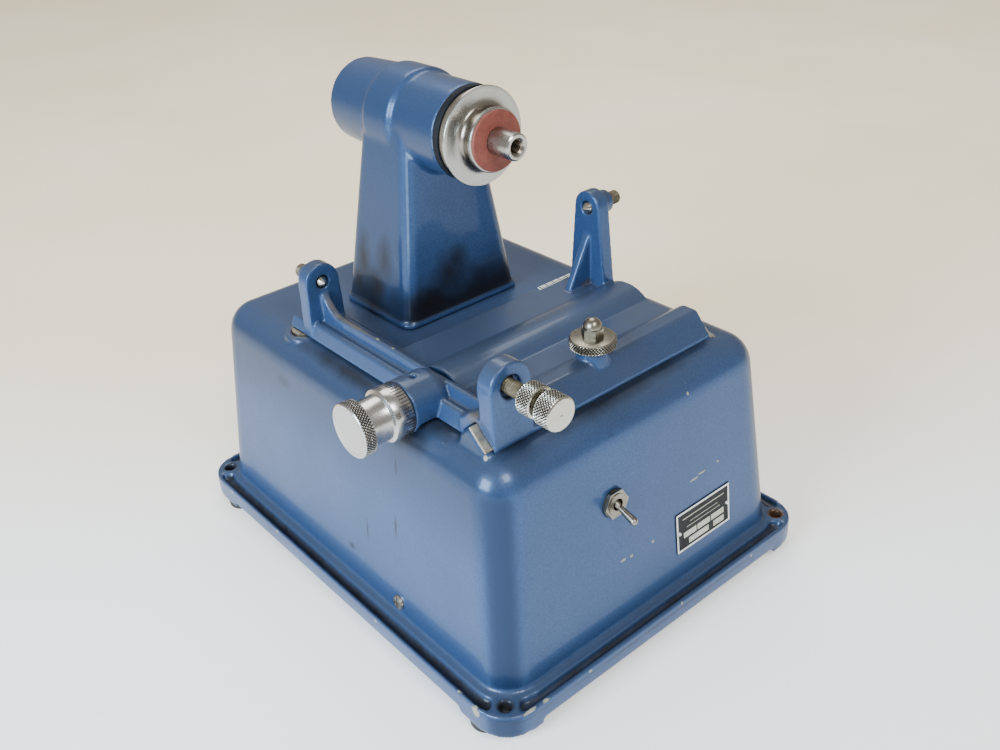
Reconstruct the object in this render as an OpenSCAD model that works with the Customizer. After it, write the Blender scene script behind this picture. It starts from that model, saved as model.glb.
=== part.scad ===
// Bench machine of the lapidary family: a belt-driven spindle head on a hollow
// cast housing, with a micrometer-fed cross slide that carries the pivot centres
// of a swing arm. Millimetres, +Z up, +X to the operator's right, -Y to the
// operator. The origin is the centre of the four base bolt holes, in the plane
// of the corner pads' undersides.

/* [Housing] */
// Width of the base flange
base_w = 238; // [220:1:260]
// Depth of the base flange
base_d = 305; // [285:1:330]
// Height of the flange rim's top
rim_top = 14.4; // [12:0.1:18]
// Height of the housing's flat top
body_h = 138; // [125:1:150]
// Half width of the housing at its top
top_hw = 95.7; // [90:0.1:100]
// Half depth of the housing at its top
top_hd = 129.4; // [120:0.1:135]
// Outward run of the walls for each mm of drop
draft = 0.092; // [0.05:0.001:0.12]
// Radius of the housing's corners and top edges
edge_r = 18; // [12:1:22]
// Thickness of the cast walls
wall_t = 6; // [4:0.5:8]
// Width between base bolt holes
bolt_x = 214.8; // [200:0.2:226]
// Depth between base bolt holes
bolt_y = 282; // [265:0.5:295]
// Radius of the base bolt holes
bolt_hole_r = 3.3; // [2.5:0.1:4.5]
// How far the rubber feet stand below the pads
foot_drop = 5.5; // [3:0.5:8]

/* [Spindle head] */
// Sideways place of the spindle axis
head_x = 3; // [0:0.5:6]
// Height of the spindle axis
head_z = 247; // [235:1:260]
// Radius of the front barrel
barrel_r = 25.2; // [23:0.1:28]
// Radius of the wheel seat on the spindle nose
nose_r = 7.14; // [6:0.01:9]
// Radius of the tapped hole in the spindle nose
nose_tap_r = 3.18; // [2.5:0.01:4]
// Radius of the large flange
big_flange_r = 26; // [22:0.5:30]
// Radius of the small flange
small_flange_r = 16.9; // [14:0.1:20]

/* [Cross slide] */
// Left end of the slide casting
slide_x0 = -82.3; // [-86:0.1:-78]
// Right end of the slide casting
slide_x1 = 69; // [60:1:74]
// Front face of the slide casting
slide_y0 = -115; // [-117:0.5:-113]
// Rear edge of the slide plate
slide_y1 = -13.5; // [-20:0.5:-5]
// Underside of the slide's lip and beam
slide_z0 = 139.8; // [139.4:0.1:141]
// Top of the slide plate
plate_z = 148; // [146:0.5:150]
// Sideways place of the swing arm's pivot axis
pivot_x = -70.4; // [-72:0.1:-68]
// Height of the swing arm's pivot axis
pivot_z = 171; // [165:1:178]

/* [Feed screw] */
// Place of the feed screw's axis from front to back
feed_y = -58; // [-60:0.5:-56]
// Height of the feed screw's axis
feed_z = 145.5; // [144.5:0.1:146]
// Radius of the feed screw's thread (20 turns to the inch)
feed_r = 3.175; // [2.5:0.005:3.6]
// Radius of the graduated drum
drum_r = 14; // [12:0.5:15]

/* [Motor] */
// Radius of the motor shell
motor_r = 42; // [35:1:46]
// Height of the motor's axis
motor_z = 62; // [58:1:66]

/* [Hidden] */
$fn = 64;
cast_blue = [0.27, 0.39, 0.58];
steel = [0.72, 0.72, 0.70];
brushed = [0.80, 0.80, 0.79];
brass_tone = [0.72, 0.60, 0.34];
rubber_tone = [0.10, 0.10, 0.11];
eps = 0.01;
run_gap = 0.05;
draft_angle = atan(draft);
hull_fn = 32;

foot_x = 108.3;
foot_y = 127;
foot_r = 10;
flange_r = 20;
pad_h = 3;
pad_x = 92;
pad_y = 117;
pad_top = 6;
band_drop = 3.5;
cover_t = 1.6;
cover_w = 228;
cover_d = 294;
cover_screw_x = 110;

column_top_z = 246;
column_hw0 = 41;
column_hw1 = 25.5;
column_y0 = 12.5;
column_y1 = 76;
column_top_y0 = 19;
column_top_y1 = 62;
column_corner_r = 7;
belt_y = 38;
barrel_y0 = -4.4;
barrel_y1 = 93.7;
bulge_y0 = 31.2;
bulge_y1 = 57;
bore_r = 20;
shaft_r = 8.5;
bearing_t = 12;
relief = 0.25;
front_bearing_y = -2;
seal_t = 4.2;
cap_front_y = -13.3;
rear_bearing_y = 72;

way_apex = [-101, 150.2];
way_front = [-112.5, 140];
way_rear = [-92.5, 142];
way_x0 = -86.3;
way_x1 = 74;
way_gap = 0.3;
gib_t = 1.5;
gib_run = way_front - way_apex;
gib_normal = [gib_run[1], -gib_run[0]] / norm(gib_run);
gib_low = 0.12;
gib_high = gib_low + gib_t;

rest_x = -78.5;
rest_y = 58;
rest_r = 11.5;

hump_y = -55;
hump_r = 22.9;
hump_z = 130.7;
plate_z0 = 141;
beam_y1 = 66;
lug_front_y1 = -105;
lug_rear_y0 = 43;
lug_rear_y1 = 52;
front_arch_r = 12.5;
rear_arch_r = 10.6;
centre_r = 3.97;
right_lug_x = 61.5;
right_lug_y = -29.9;
right_lug_z = 194;
drum_x = -95;
knob_x = -124.4;
boss_end_x = -77.5;
shoulder_x = [-79.3, -80.8];
stop_x = -4;
stop_y = -100;
stop_r = 3.175;
switch_x = -23.8;
switch_z = 90.4;
plate_label_x = 42.3;
plate_label_z = 45.9;
plug_y = -51.7;
plug_z = 22;
gland_x = 62;
gland_z = 40;

// ---------------------------------------------------------------- helpers

// Cylinder or cone along +X from x0 to x1
module rod_x(x0, x1, r0, r1 = -1) {
    translate([x0, 0, 0]) rotate([0, 90, 0]) cylinder(h = x1 - x0, r1 = r0, r2 = r1 < 0 ? r0 : r1);
}

// Cylinder or cone along +Y from y0 to y1
module rod_y(y0, y1, r0, r1 = -1) {
    translate([0, y0, 0]) rotate([-90, 0, 0]) cylinder(h = y1 - y0, r1 = r0, r2 = r1 < 0 ? r0 : r1);
}

// Turned shape along +Y, its outline given as [radius, y] points
module turned_y(points) {
    rotate([-90, 0, 0]) rotate_extrude() polygon(points);
}

// Profile given as [y, z] points, extruded along X from x0 to x1
module prism_x(x0, x1, points) {
    translate([x0, 0, 0]) rotate([90, 0, 90]) linear_extrude(x1 - x0) polygon(points);
}

// Profile given as [x, z] points, extruded along Y from y0 to y1
module prism_y(y0, y1, points) {
    translate([0, y1, 0]) rotate([90, 0, 0]) linear_extrude(y1 - y0) polygon(points);
}

// Upright plate with round corners, centred on the Z axis
module round_plate(w, d, r, z0, z1) {
    translate([-w / 2 + r, -d / 2, z0]) cube([w - 2 * r, d, z1 - z0]);
    translate([-w / 2, -d / 2 + r, z0]) cube([w, d - 2 * r, z1 - z0]);
    for (sx = [-1, 1], sy = [-1, 1])
        translate([sx * (w / 2 - r), sy * (d / 2 - r), z0]) cylinder(h = z1 - z0, r = r);
}

// Puts children at each corner of a rectangle
module at_corners(x, y) {
    for (sx = [-1, 1], sy = [-1, 1]) translate([sx * x, sy * y, 0]) children();
}

// Drafted block with round corners and a round top edge, as one hull
module drafted_block(hw, hd, top, low, r) {
    inset = r * (1 - sin(draft_angle)) / cos(draft_angle);
    low_run = (top - low) * draft - r;
    hull() {
        at_corners(hw - inset, hd - inset) translate([0, 0, top - r])
            scale([1, 1, 1 / cos(180 / hull_fn)]) sphere(r, $fn = hull_fn);
        at_corners(hw + low_run, hd + low_run) translate([0, 0, low]) cylinder(h = 0.1, r = r, $fn = hull_fn);
    }
}

// Wall surface positions at a height, for parts fixed to the drafted walls
function wall_x(z) = top_hw + (body_h - z) * draft;
function wall_y(z) = top_hd + (body_h - z) * draft;

// Points of an arc in a plane, from angle a0 to a1
function arc(cx, cy, r, a0, a1, n = 12) =
    [for (i = [0:n]) [cx + r * cos(a0 + (a1 - a0) * i / n), cy + r * sin(a0 + (a1 - a0) * i / n)]];

// Pan head screw pointing up, its head's underside at the origin
module pan_screw_up(r, length, head_r, head_h) {
    cylinder(h = length, r = r);
    difference() {
        translate([0, 0, -head_h]) cylinder(h = head_h, r1 = head_r * 0.8, r2 = head_r);
        translate([-head_r, -0.5, -head_h - eps]) cube([2 * head_r, 1, head_h * 0.5]);
    }
}

// Hexagon bolt pointing up, its head's underside at the origin
module hex_bolt_up(r, length, across, head_h) {
    cylinder(h = length, r = r);
    translate([0, 0, -head_h]) cylinder(h = head_h, r = across / sqrt(3), $fn = 6);
}

// ---------------------------------------------------------------- housing

// The V-way that the cross slide runs on, cast along the housing's front top edge
module v_way() {
    prism_x(way_x0, way_x1, [
        [way_rear[0] + 1, body_h - wall_t + 1], way_rear, way_apex, way_front,
        [way_front[0], body_h - wall_t + 1]
    ]);
}

module housing_casting() color(cast_blue) {
    difference() {
        union() {
            difference() {
                union() {
                    drafted_block(top_hw, top_hd, body_h, rim_top - 4, edge_r);
                    round_plate(base_w, base_d, flange_r, pad_h, rim_top);
                    v_way();
                    translate([rest_x, rest_y, body_h - edge_r])
                        cylinder(h = slide_z0 - 0.7 - body_h + edge_r, r = rest_r);
                }
                // hollow inside, open below
                difference() {
                    drafted_block(top_hw - wall_t, top_hd - wall_t, body_h - wall_t, -1, edge_r - wall_t);
                    motor_boss_columns();
                }
            }
            corner_pads();
        }
        // sunken band round the top of the flange
        flange_band();
        // base bolt holes
        at_corners(bolt_x / 2, bolt_y / 2) translate([0, 0, -1]) cylinder(h = rim_top + 2, r = bolt_hole_r);
        // belt opening and column bolt holes in the top
        translate([head_x - 26, belt_y - 10, body_h - wall_t - 1]) cube([52, 20, wall_t + 2]);
        column_bolt_places() translate([0, 0, body_h - wall_t - 1]) cylinder(h = wall_t + 2, r = 3.3);
        // seat of the rest button
        translate([rest_x, rest_y, body_h - 6]) cylinder(h = 20, r = 7);
        // feed nut screw holes
        feed_nut_screw_places() translate([0, 0, body_h - wall_t - 1]) cylinder(h = wall_t + 2, r = 1.8);
        // switch, drain plug and cord holes in the walls
        switch_frame() rod_y(-12, 12, 6.2);
        plug_frame() rod_x(-12, 12, 3.2);
        gland_frame() rod_y(-12, 12, 8);
        // motor saddle bolt holes, cover screw holes and foot screw holes
        motor_bolt_places() translate([0, 0, 120]) cylinder(h = 15, r = 2.5);
        cover_screw_places() translate([0, 0, 1]) cylinder(h = 9, r = 1.8);
        at_corners(foot_x, foot_y) translate([0, 0, -1]) cylinder(h = pad_top, r = 2);
    }
}

// Solid pads in the flange's corners that take the feet and the base bolts
module corner_pads() {
    intersection() {
        round_plate(base_w, base_d, flange_r, 0, pad_top);
        for (sx = [-1, 1], sy = [-1, 1])
            translate([sx * (pad_x + 20) - 20, sy * (pad_y + 20) - 20, 0]) cube([40, 40, pad_top]);
    }
}

// Groove sunk into the flange's top between its rim and the wall's foot
module flange_band() {
    difference() {
        round_plate(base_w - 5, base_d - 5, flange_r - 2.5, rim_top - band_drop, rim_top + 1);
        round_plate(2 * wall_x(rim_top) + 9, 2 * wall_y(rim_top) + 9, edge_r + 4, rim_top - 10, rim_top + 2);
        at_corners(bolt_x / 2, bolt_y / 2) cylinder(h = rim_top + 2, r = 7.5);
    }
}

// Bosses under the roof that the motor saddle bolts to
module motor_boss_columns() {
    motor_bolt_places() translate([0, 0, 124]) cylinder(h = 20, r = 6.5);
}

module column_bolt_places() {
    for (sx = [-1, 1], y = [24, 62]) translate([head_x + sx * 29, y, 0]) children();
}

module motor_bolt_places() {
    for (sx = [-1, 1], y = [-43, 0]) translate([head_x + sx * 40, y, 0]) children();
}

module cover_screw_places() {
    for (sx = [-1, 1], y = [-100, 0, 100]) translate([sx * cover_screw_x, y, 0]) children();
}

module feed_nut_screw_places() {
    for (x = [-44, -36]) translate([x, feed_y, 0]) children();
}

module switch_frame() {
    translate([switch_x, -wall_y(switch_z), switch_z]) rotate([-draft_angle, 0, 0]) children();
}

module label_frame() {
    translate([plate_label_x, -wall_y(plate_label_z), plate_label_z]) rotate([-draft_angle, 0, 0]) children();
}

module plug_frame() {
    translate([-wall_x(plug_z), plug_y, plug_z]) rotate([0, draft_angle, 0]) children();
}

module gland_frame() {
    translate([gland_x, wall_y(gland_z), gland_z]) rotate([draft_angle, 0, 0]) children();
}

module base_cover() color([0.45, 0.46, 0.47]) {
    difference() {
        round_plate(cover_w, cover_d, 14, pad_h - cover_t, pad_h - 0.02);
        for (i = [-4:4]) translate([i * 12, -18, 0]) cube([4, 50, 6]);
        cover_screw_places() cylinder(h = 6, r = 2.2);
        for (sx = [-1, 1], sy = [-1, 1])
            translate([sx * (pad_x + 19.5) - 20, sy * (pad_y + 19.5) - 20, 0]) cube([40, 40, 6]);
    }
}

module base_cover_screws() color(steel)
    cover_screw_places() translate([0, 0, pad_h - cover_t - 0.02]) pan_screw_up(1.75, 7, 3.4, 1.3);

module rubber_feet() color(rubber_tone) {
    at_corners(foot_x, foot_y) difference() {
        translate([0, 0, -foot_drop]) cylinder(h = foot_drop - 0.02, r1 = foot_r - 0.7, r2 = foot_r);
        translate([0, 0, -foot_drop - eps]) cylinder(h = 1.9, r = 4.6);
        translate([0, 0, -foot_drop]) cylinder(h = 20, r = 2.1);
    }
}

module foot_screws() color(steel)
    at_corners(foot_x, foot_y) translate([0, 0, 1.88 - foot_drop]) pan_screw_up(1.95, foot_drop + 2.6, 4.2, 1.6);

module rest_button() color(brass_tone)
    translate([rest_x, rest_y, body_h - 5.98]) cylinder(h = slide_z0 - 0.1 - body_h + 5.98, r = 6.98);

module nameplate() color([0.12, 0.12, 0.13])
    label_frame() translate([-22.2, -0.6, -12.7]) cube([44.4, 0.58, 25.4]);

module nameplate_rivets() color(steel)
    label_frame() for (sx = [-1, 1]) translate([sx * 20, 0, 0]) {
        rod_y(-1.3, -0.6, 0.9, 1.3);
    }

// ---------------------------------------------------------------- toggle switch

module switch_body() color([0.16, 0.15, 0.15])
    switch_frame() {
        difference() {
            rod_y(-3, wall_t + 1, 5.95);
            rod_y(-4, 1.8, 3.3);
        }
        translate([-9, wall_t + 0.7, -15]) cube([18, 22, 30]);
        for (z = [-9, 0, 9]) translate([-3, wall_t + 20, z - 0.5]) cube([6, 8, 1]);
    }

module switch_nut() color(steel)
    switch_frame() difference() {
        union() {
            rod_y(-0.6, -0.02, 7.6);
            rotate([90, 0, 0]) translate([0, 0, 0.6]) cylinder(h = 1.9, r = 14.3 / sqrt(3), $fn = 6);
        }
        rod_y(-6, 2, 5.97);
    }

lever_tilt = 24;
lever_pivot_y = -1.2;
module toggle_lever() color(brushed)
    switch_frame() translate([0, lever_pivot_y, 0]) rotate([lever_tilt, 0, 0]) turned_y(concat(
        arc(0, -13.1, 2.2, -90, 0, 6), [[1.55, -2.9], [2.1, -1], [2.3, 0.2], [1.8, 1.6], [0, 2.2]]
    ));

module wall_plug() color(steel)
    plug_frame() difference() {
        union() {
            rod_x(-1.25, -0.03, 3.6, 4.2);
            rod_x(-0.04, wall_t, 3.05);
        }
        translate([-2, -0.6, -5]) cube([1.4, 1.2, 10]);
    }

module cord_grommet() color(rubber_tone)
    gland_frame() difference() {
        union() {
            rod_y(0.02, 4, 11, 9.5);
            rod_y(-wall_t - 0.5, 0.5, 7.95);
            rod_y(-wall_t - 3, -wall_t - 0.7, 10);
        }
        rod_y(-20, 20, 4);
    }

// ---------------------------------------------------------------- column and head

// Cross-section rectangle of the column between two heights, with round corners
module column_block(hw0, y00, y01, z0, hw1, y10, y11, z1, r) {
    hull() {
        for (x = [head_x - hw0 + r, head_x + hw0 - r], y = [y00 + r, y01 - r])
            translate([x, y, z0]) cylinder(h = 0.1, r = r, $fn = hull_fn);
        for (x = [head_x - hw1 + r, head_x + hw1 - r], y = [y10 + r, y11 - r])
            translate([x, y, z1]) cylinder(h = 0.1, r = r, $fn = hull_fn);
    }
}

module column_casting() color(cast_blue) {
    difference() {
        union() {
            column_block(column_hw0, column_y0, column_y1, body_h + 0.02,
                column_hw1, column_top_y0, column_top_y1, column_top_z, column_corner_r);
            translate([head_x, (column_y0 + column_y1) / 2, body_h + 0.02])
                round_plate(2 * column_hw0 + 2, column_y1 - column_y0 + 2.4, column_corner_r, 0, 3.2);
            translate([head_x, 0, head_z]) {
                rod_y(barrel_y0, bulge_y0 + 1, barrel_r);
                rod_y(bulge_y0, bulge_y0 + 2, barrel_r, 27.4);
                rod_y(bulge_y0 + 2, bulge_y1 - 2, 27.4);
                rod_y(bulge_y1 - 2, bulge_y1, 27.4, 25.5);
                rod_y(bulge_y1 - 1, barrel_y1, 25.5, 23.6);
            }
        }
        // bearing bore, end cap seat and belt slot
        translate([head_x, 0, head_z]) rod_y(barrel_y0 - 1, barrel_y1 + 1, bore_r);
        translate([head_x - 18.5, belt_y - 9, 160]) cube([37, 18, head_z - 160]);
        // hollow column with bolt bosses left in its corners
        difference() {
            column_block(column_hw0 - 7, column_y0 + 7, column_y1 - 7, body_h - 1,
                18.5, 28, 54, 214, 3);
            column_bolt_places() translate([0, 0, body_h]) cylinder(h = 22, r = 7.5);
        }
        column_bolt_places() translate([0, 0, body_h - 1]) cylinder(h = 17, r = 2.6);
    }
}

module column_bolts() color(steel)
    column_bolt_places() translate([0, 0, body_h - wall_t - 0.02]) hex_bolt_up(2.55, 20, 11, 4.4);

// Ring of a ball bearing, with a shield recess in each face
module bearing_ring(y0) {
    translate([head_x, 0, head_z]) difference() {
        rod_y(y0, y0 + bearing_t, bore_r - 0.02);
        rod_y(y0 - 1, y0 + bearing_t + 1, shaft_r + run_gap);
        for (side = [y0 - 1, y0 + bearing_t - 0.6]) difference() {
            rod_y(side, side + 1.6, 16.5);
            rod_y(side - 1, side + 3, 11.5);
        }
    }
}

module front_bearing() color(steel) bearing_ring(front_bearing_y);

module rear_bearing() color(steel) bearing_ring(rear_bearing_y);

module felt_seal() color(rubber_tone)
    translate([head_x, 0, head_z]) difference() {
        rod_y(barrel_y0 - seal_t, barrel_y0 - 0.02, barrel_r - 0.2);
        rod_y(barrel_y0 - seal_t - 1, barrel_y0 + 1, 14);
    }

module bearing_cap() color([0.45, 0.40, 0.35])
    translate([head_x, 0, head_z]) difference() {
        union() {
            rod_y(cap_front_y, barrel_y0 - seal_t - 0.02, 23.8);
            rod_y(barrel_y0 - seal_t - 0.1, front_bearing_y - 0.05, 13.9);
        }
        rod_y(cap_front_y - 1, 0, shaft_r + 2.1);
    }

module barrel_end_cap() color(brushed)
    translate([head_x, 0, head_z]) difference() {
        rod_y(barrel_y1 - 5, barrel_y1 - 0.5, bore_r - 0.03);
        rod_y(barrel_y1 - 1.5, barrel_y1 + 1, 14);
    }

module spindle_shaft() color(brushed)
    translate([head_x, 0, head_z]) difference() {
        union() {
            rod_y(-41.7, -40.9, nose_r - 0.8, nose_r);
            rod_y(-40.9, -26.6, nose_r);
            rod_y(-26.61, -17, nose_r - relief);
            rod_y(-17, -12.9, 10);
            rod_y(-12.9, 86.5, shaft_r);
        }
        rod_y(-42.7, -24, nose_tap_r);
        rod_y(-42.7, -40.2, nose_tap_r + 2.6, nose_tap_r);
    }

module large_flange() color(brushed)
    translate([head_x, 0, head_z]) difference() {
        union() {
            rod_y(-15.2, -14.8, big_flange_r - 0.4, big_flange_r);
            rod_y(-14.8, -13.8, big_flange_r);
            rod_y(-18, -15.2, 15.6, 18);
            rod_y(-22.4, -18, 15.6);
        }
        rod_y(-30, 0, 10 + 0.01);
        rod_y(-30, -17, nose_r - relief + 0.01);
    }

module small_flange() color(brushed)
    translate([head_x, 0, head_z]) difference() {
        union() {
            rod_y(-24.8, -24.3, small_flange_r - 0.5, small_flange_r);
            rod_y(-24.3, -22.42, small_flange_r);
        }
        rod_y(-30, 0, nose_r - relief + 0.01);
    }

module fibre_washer() color([0.62, 0.20, 0.15])
    translate([head_x, 0, head_z]) difference() {
        rod_y(-26.4, -24.82, 15.9);
        rod_y(-30, 0, nose_r - relief + 0.01);
    }

// Grooved pulley along Y, centred at y = 0
module v_pulley(r, half, bore) {
    difference() {
        rotate([-90, 0, 0]) rotate_extrude() polygon([
            [0, -half], [r, -half], [r, -half + 1.5], [r - 3.5, -2], [r - 3.5, 2],
            [r, half - 1.5], [r, half], [0, half]
        ]);
        rod_y(-half - 1, half + 1, bore);
    }
}

spindle_pulley_r = 17.5;
motor_pulley_r = 21;
belt_r_top = spindle_pulley_r - 0.4;
belt_r_low = motor_pulley_r - 0.4;
module spindle_pulley() color(steel)
    translate([head_x, belt_y, head_z]) v_pulley(spindle_pulley_r, 6, shaft_r + 0.01);

module spindle_locknut() color(steel)
    translate([head_x, 0, head_z]) difference() {
        rod_y(84.3, 88, 13);
        rod_y(80, 90, shaft_r + 0.01);
    }

// Belt loop round both pulleys: two straight runs tangent to two half rings
module drive_belt() color(rubber_tone) {
    rise = head_z - motor_z;
    lean = asin((belt_r_low - belt_r_top) / rise);
    half_w = 1.9;
    thick = 3;
    translate([head_x, belt_y + half_w, 0]) rotate([90, 0, 0]) linear_extrude(2 * half_w) difference() {
        union() {
            translate([0, head_z]) circle(belt_r_top);
            translate([0, motor_z]) circle(belt_r_low);
            belt_side(rise, lean, belt_r_top, belt_r_low);
        }
        translate([0, head_z]) circle(belt_r_top - thick);
        translate([0, motor_z]) circle(belt_r_low - thick);
        belt_side(rise, lean, belt_r_top - thick, belt_r_low - thick);
    }
}

// Flat outline between the tangent points of two circles, one above the other
module belt_side(rise, lean, r_top, r_low) {
    polygon([
        [-r_low * cos(lean), motor_z + r_low * sin(lean)],
        [r_low * cos(lean), motor_z + r_low * sin(lean)],
        [r_top * cos(lean), head_z + r_top * sin(lean)],
        [-r_top * cos(lean), head_z + r_top * sin(lean)]
    ]);
}

// ---------------------------------------------------------------- motor

motor_y0 = -80;
motor_y1 = 12;
module motor_axis() {
    translate([head_x, 0, motor_z]) children();
}

module motor_shell() color([0.35, 0.36, 0.38])
    motor_axis() difference() {
        rod_y(motor_y0 + 12, motor_y1 - 12, motor_r);
        rod_y(motor_y0 + 11, motor_y1 - 11, motor_r - 2.5);
    }

// End bell of the motor: a dished disc with vent holes and a shaft bearing
module end_bell(flat_y, open_y, shaft_hole) {
    low = min(flat_y, open_y);
    high = max(flat_y, open_y);
    inner_low = flat_y < open_y ? flat_y + 3 : low - 1;
    inner_high = flat_y < open_y ? high + 1 : flat_y - 3;
    difference() {
        union() {
            difference() {
                rod_y(low, high, motor_r - 0.5);
                rod_y(inner_low, inner_high, motor_r - 4);
            }
            rod_y(low, high, 12);
        }
        rod_y(low - 1, high + 1, shaft_hole);
        for (a = [0:60:300]) rotate([0, a, 0]) translate([24, 0, 0]) rod_y(low - 1, high + 1, 5);
    }
}

module motor_front_bell() color([0.62, 0.63, 0.64])
    motor_axis() end_bell(motor_y0, motor_y0 + 11.98, 6 + run_gap);

module motor_rear_bell() color([0.62, 0.63, 0.64])
    motor_axis() end_bell(motor_y1, motor_y1 - 11.98, 6 + run_gap);

module motor_rotor() color([0.50, 0.50, 0.52])
    motor_axis() difference() {
        rod_y(-62, -6, 26);
        rod_y(-70, 0, 6.01);
    }

module motor_shaft() color(brushed) motor_axis() rod_y(motor_y0 + 1, belt_y + 8, 6);

module motor_pulley() color(steel)
    translate([head_x, belt_y, motor_z]) v_pulley(motor_pulley_r, 6, 6.01);

saddle_z = 124;
module motor_saddle() color([0.30, 0.31, 0.33]) {
    difference() {
        union() {
            translate([head_x - 48, -60, saddle_z - 4]) cube([96, 70, 3.98]);
            for (y = [-52, -6]) translate([head_x - 34, y, motor_z + 22]) cube([68, 5, saddle_z - motor_z - 24]);
        }
        motor_axis() rod_y(-90, 40, motor_r + 0.02);
        motor_bolt_places() translate([0, 0, 100]) cylinder(h = 60, r = 2.7);
    }
}

module motor_straps() color(steel)
    for (y = [-44, -16]) motor_axis() difference() {
        rod_y(y, y + 8, motor_r + 1.5);
        rod_y(y - 1, y + 9, motor_r + 0.02);
        translate([-60, y - 1, 30]) cube([120, 10, 60]);
    }

module motor_bolts() color(steel)
    motor_bolt_places() translate([0, 0, saddle_z - 4.02]) hex_bolt_up(2.45, 14, 9.5, 3.6);

capacitor_x = -66;
capacitor_z = 84;
module motor_capacitor() color([0.66, 0.67, 0.68])
    translate([capacitor_x, 0, capacitor_z]) {
        rod_y(-60, 5, 15.5);
        rod_y(5, 8, 14, 12);
        for (sx = [-1, 1]) translate([sx * 5, 0, 0]) rod_y(8, 13, 1.6);
    }

module capacitor_clip() color(steel)
    difference() {
        union() {
            translate([capacitor_x, 0, capacitor_z]) rod_y(-35, -23, 17);
            translate([capacitor_x - 6, -35, capacitor_z + 15.6]) cube([12, 12, body_h - wall_t - capacitor_z - 15.8]);
        }
        translate([capacitor_x, 0, capacitor_z]) rod_y(-40, -20, 15.52);
    }

// ---------------------------------------------------------------- feed nut

module feed_nut() color(brass_tone)
    difference() {
        translate([-46, feed_y - 6, body_h + 0.02]) cube([12, 12, 11.7]);
        translate([0, feed_y, feed_z]) rod_x(-50, -30, feed_r + run_gap);
        feed_nut_screw_places() translate([0, 0, body_h - 1]) cylinder(h = 4.6, r = 1.55);
    }

module feed_nut_screws() color(steel)
    feed_nut_screw_places() translate([0, 0, body_h - wall_t - 0.02]) pan_screw_up(1.5, 9, 3, 1.8);

// ---------------------------------------------------------------- cross slide

// Side view of the slide plate: front ridge over the V-way, valley, screw tunnel, rear flat
hump_half = sqrt(hump_r * hump_r - (plate_z - hump_z) * (plate_z - hump_z));
hump_angle = acos((plate_z - hump_z) / hump_r);
plate_profile = concat(
    [[slide_y0, slide_z0], [slide_y0, 142.4]],
    [[-106.2, 153], [-104.6, 154], [-97.2, 154], [-95.6, 153.4], [-88, plate_z]],
    arc(hump_y, hump_z, hump_r, 90 + hump_angle, 90 - hump_angle, 10),
    [[slide_y1 - 1, plate_z], [slide_y1, plate_z - 1], [slide_y1, plate_z0], [-88.5, plate_z0], [-88.5, slide_z0]]
);

// Side view of the ridge where it covers the left end of the V-way
ridge_profile = [
    [slide_y0, slide_z0], [slide_y0, 142.4], [-106.2, 153], [-104.6, 154], [-97.2, 154], [-95.6, 153.4],
    [-91, 149.5], [-88.5, 148.8], [-88.5, slide_z0]
];

// Front view of the left beam: sloped outer face, channel, rib on the centre line
beam_profile = [
    [slide_x0 - 0.4, slide_z0], [slide_x0 + 2.6, 148.2], [slide_x0 + 4.2, 148.8], [-76.4, 148.8], [-75.2, 147.6],
    [-73.6, 147.6], [-72, 153.8], [-69, 153.8], [-67.2, 147.6], [-61, 147.6], [-58.5, 145.5], [-58.5, slide_z0]
];

// Clearance shape round the V-way and the gib strip
module way_clearance() {
    low = way_front + (gib_high + 0.02) * gib_normal;
    prism_x(slide_x0 - 5, slide_x1 + 5, [
        [way_rear[0] + 1 + way_gap, slide_z0 - 1], [way_rear[0] + way_gap, way_rear[1] + way_gap],
        way_apex + [way_gap, way_gap], way_apex + (gib_high + 0.02) * gib_normal, low,
        [low[0], slide_z0 - 1]
    ]);
}

// Upright lug with a round head, seen from the front, between two Y planes
module arch_lug_y(x, y0, y1, r, low_left, low_right) {
    prism_y(y0, y1, [[low_left, slide_z0 + 1], [x - r, pivot_z], [x + r, pivot_z], [low_right, slide_z0 + 1]]);
    translate([x, 0, pivot_z]) rod_y(y0, y1, r);
}

module right_lug() {
    r = 9.5;
    prism_x(right_lug_x, 70, [
        [-44, plate_z0 + 0.5], [right_lug_y - r, right_lug_z], [right_lug_y + r, right_lug_z], [-15, plate_z0 + 0.5]
    ]);
    translate([0, right_lug_y, right_lug_z]) rod_x(right_lug_x, 70, r);
    translate([0, right_lug_y, right_lug_z]) rod_x(69, 77, 7.6, 6.4);
    // gusset on the lug's inner face
    prism_y(right_lug_y - 2.4, right_lug_y + 2.4, [
        [right_lug_x + 1, plate_z - 1], [45.5, plate_z - 1], [45.5, plate_z + 1], [right_lug_x, 179], [right_lug_x + 1, 179]
    ]);
}

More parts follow.
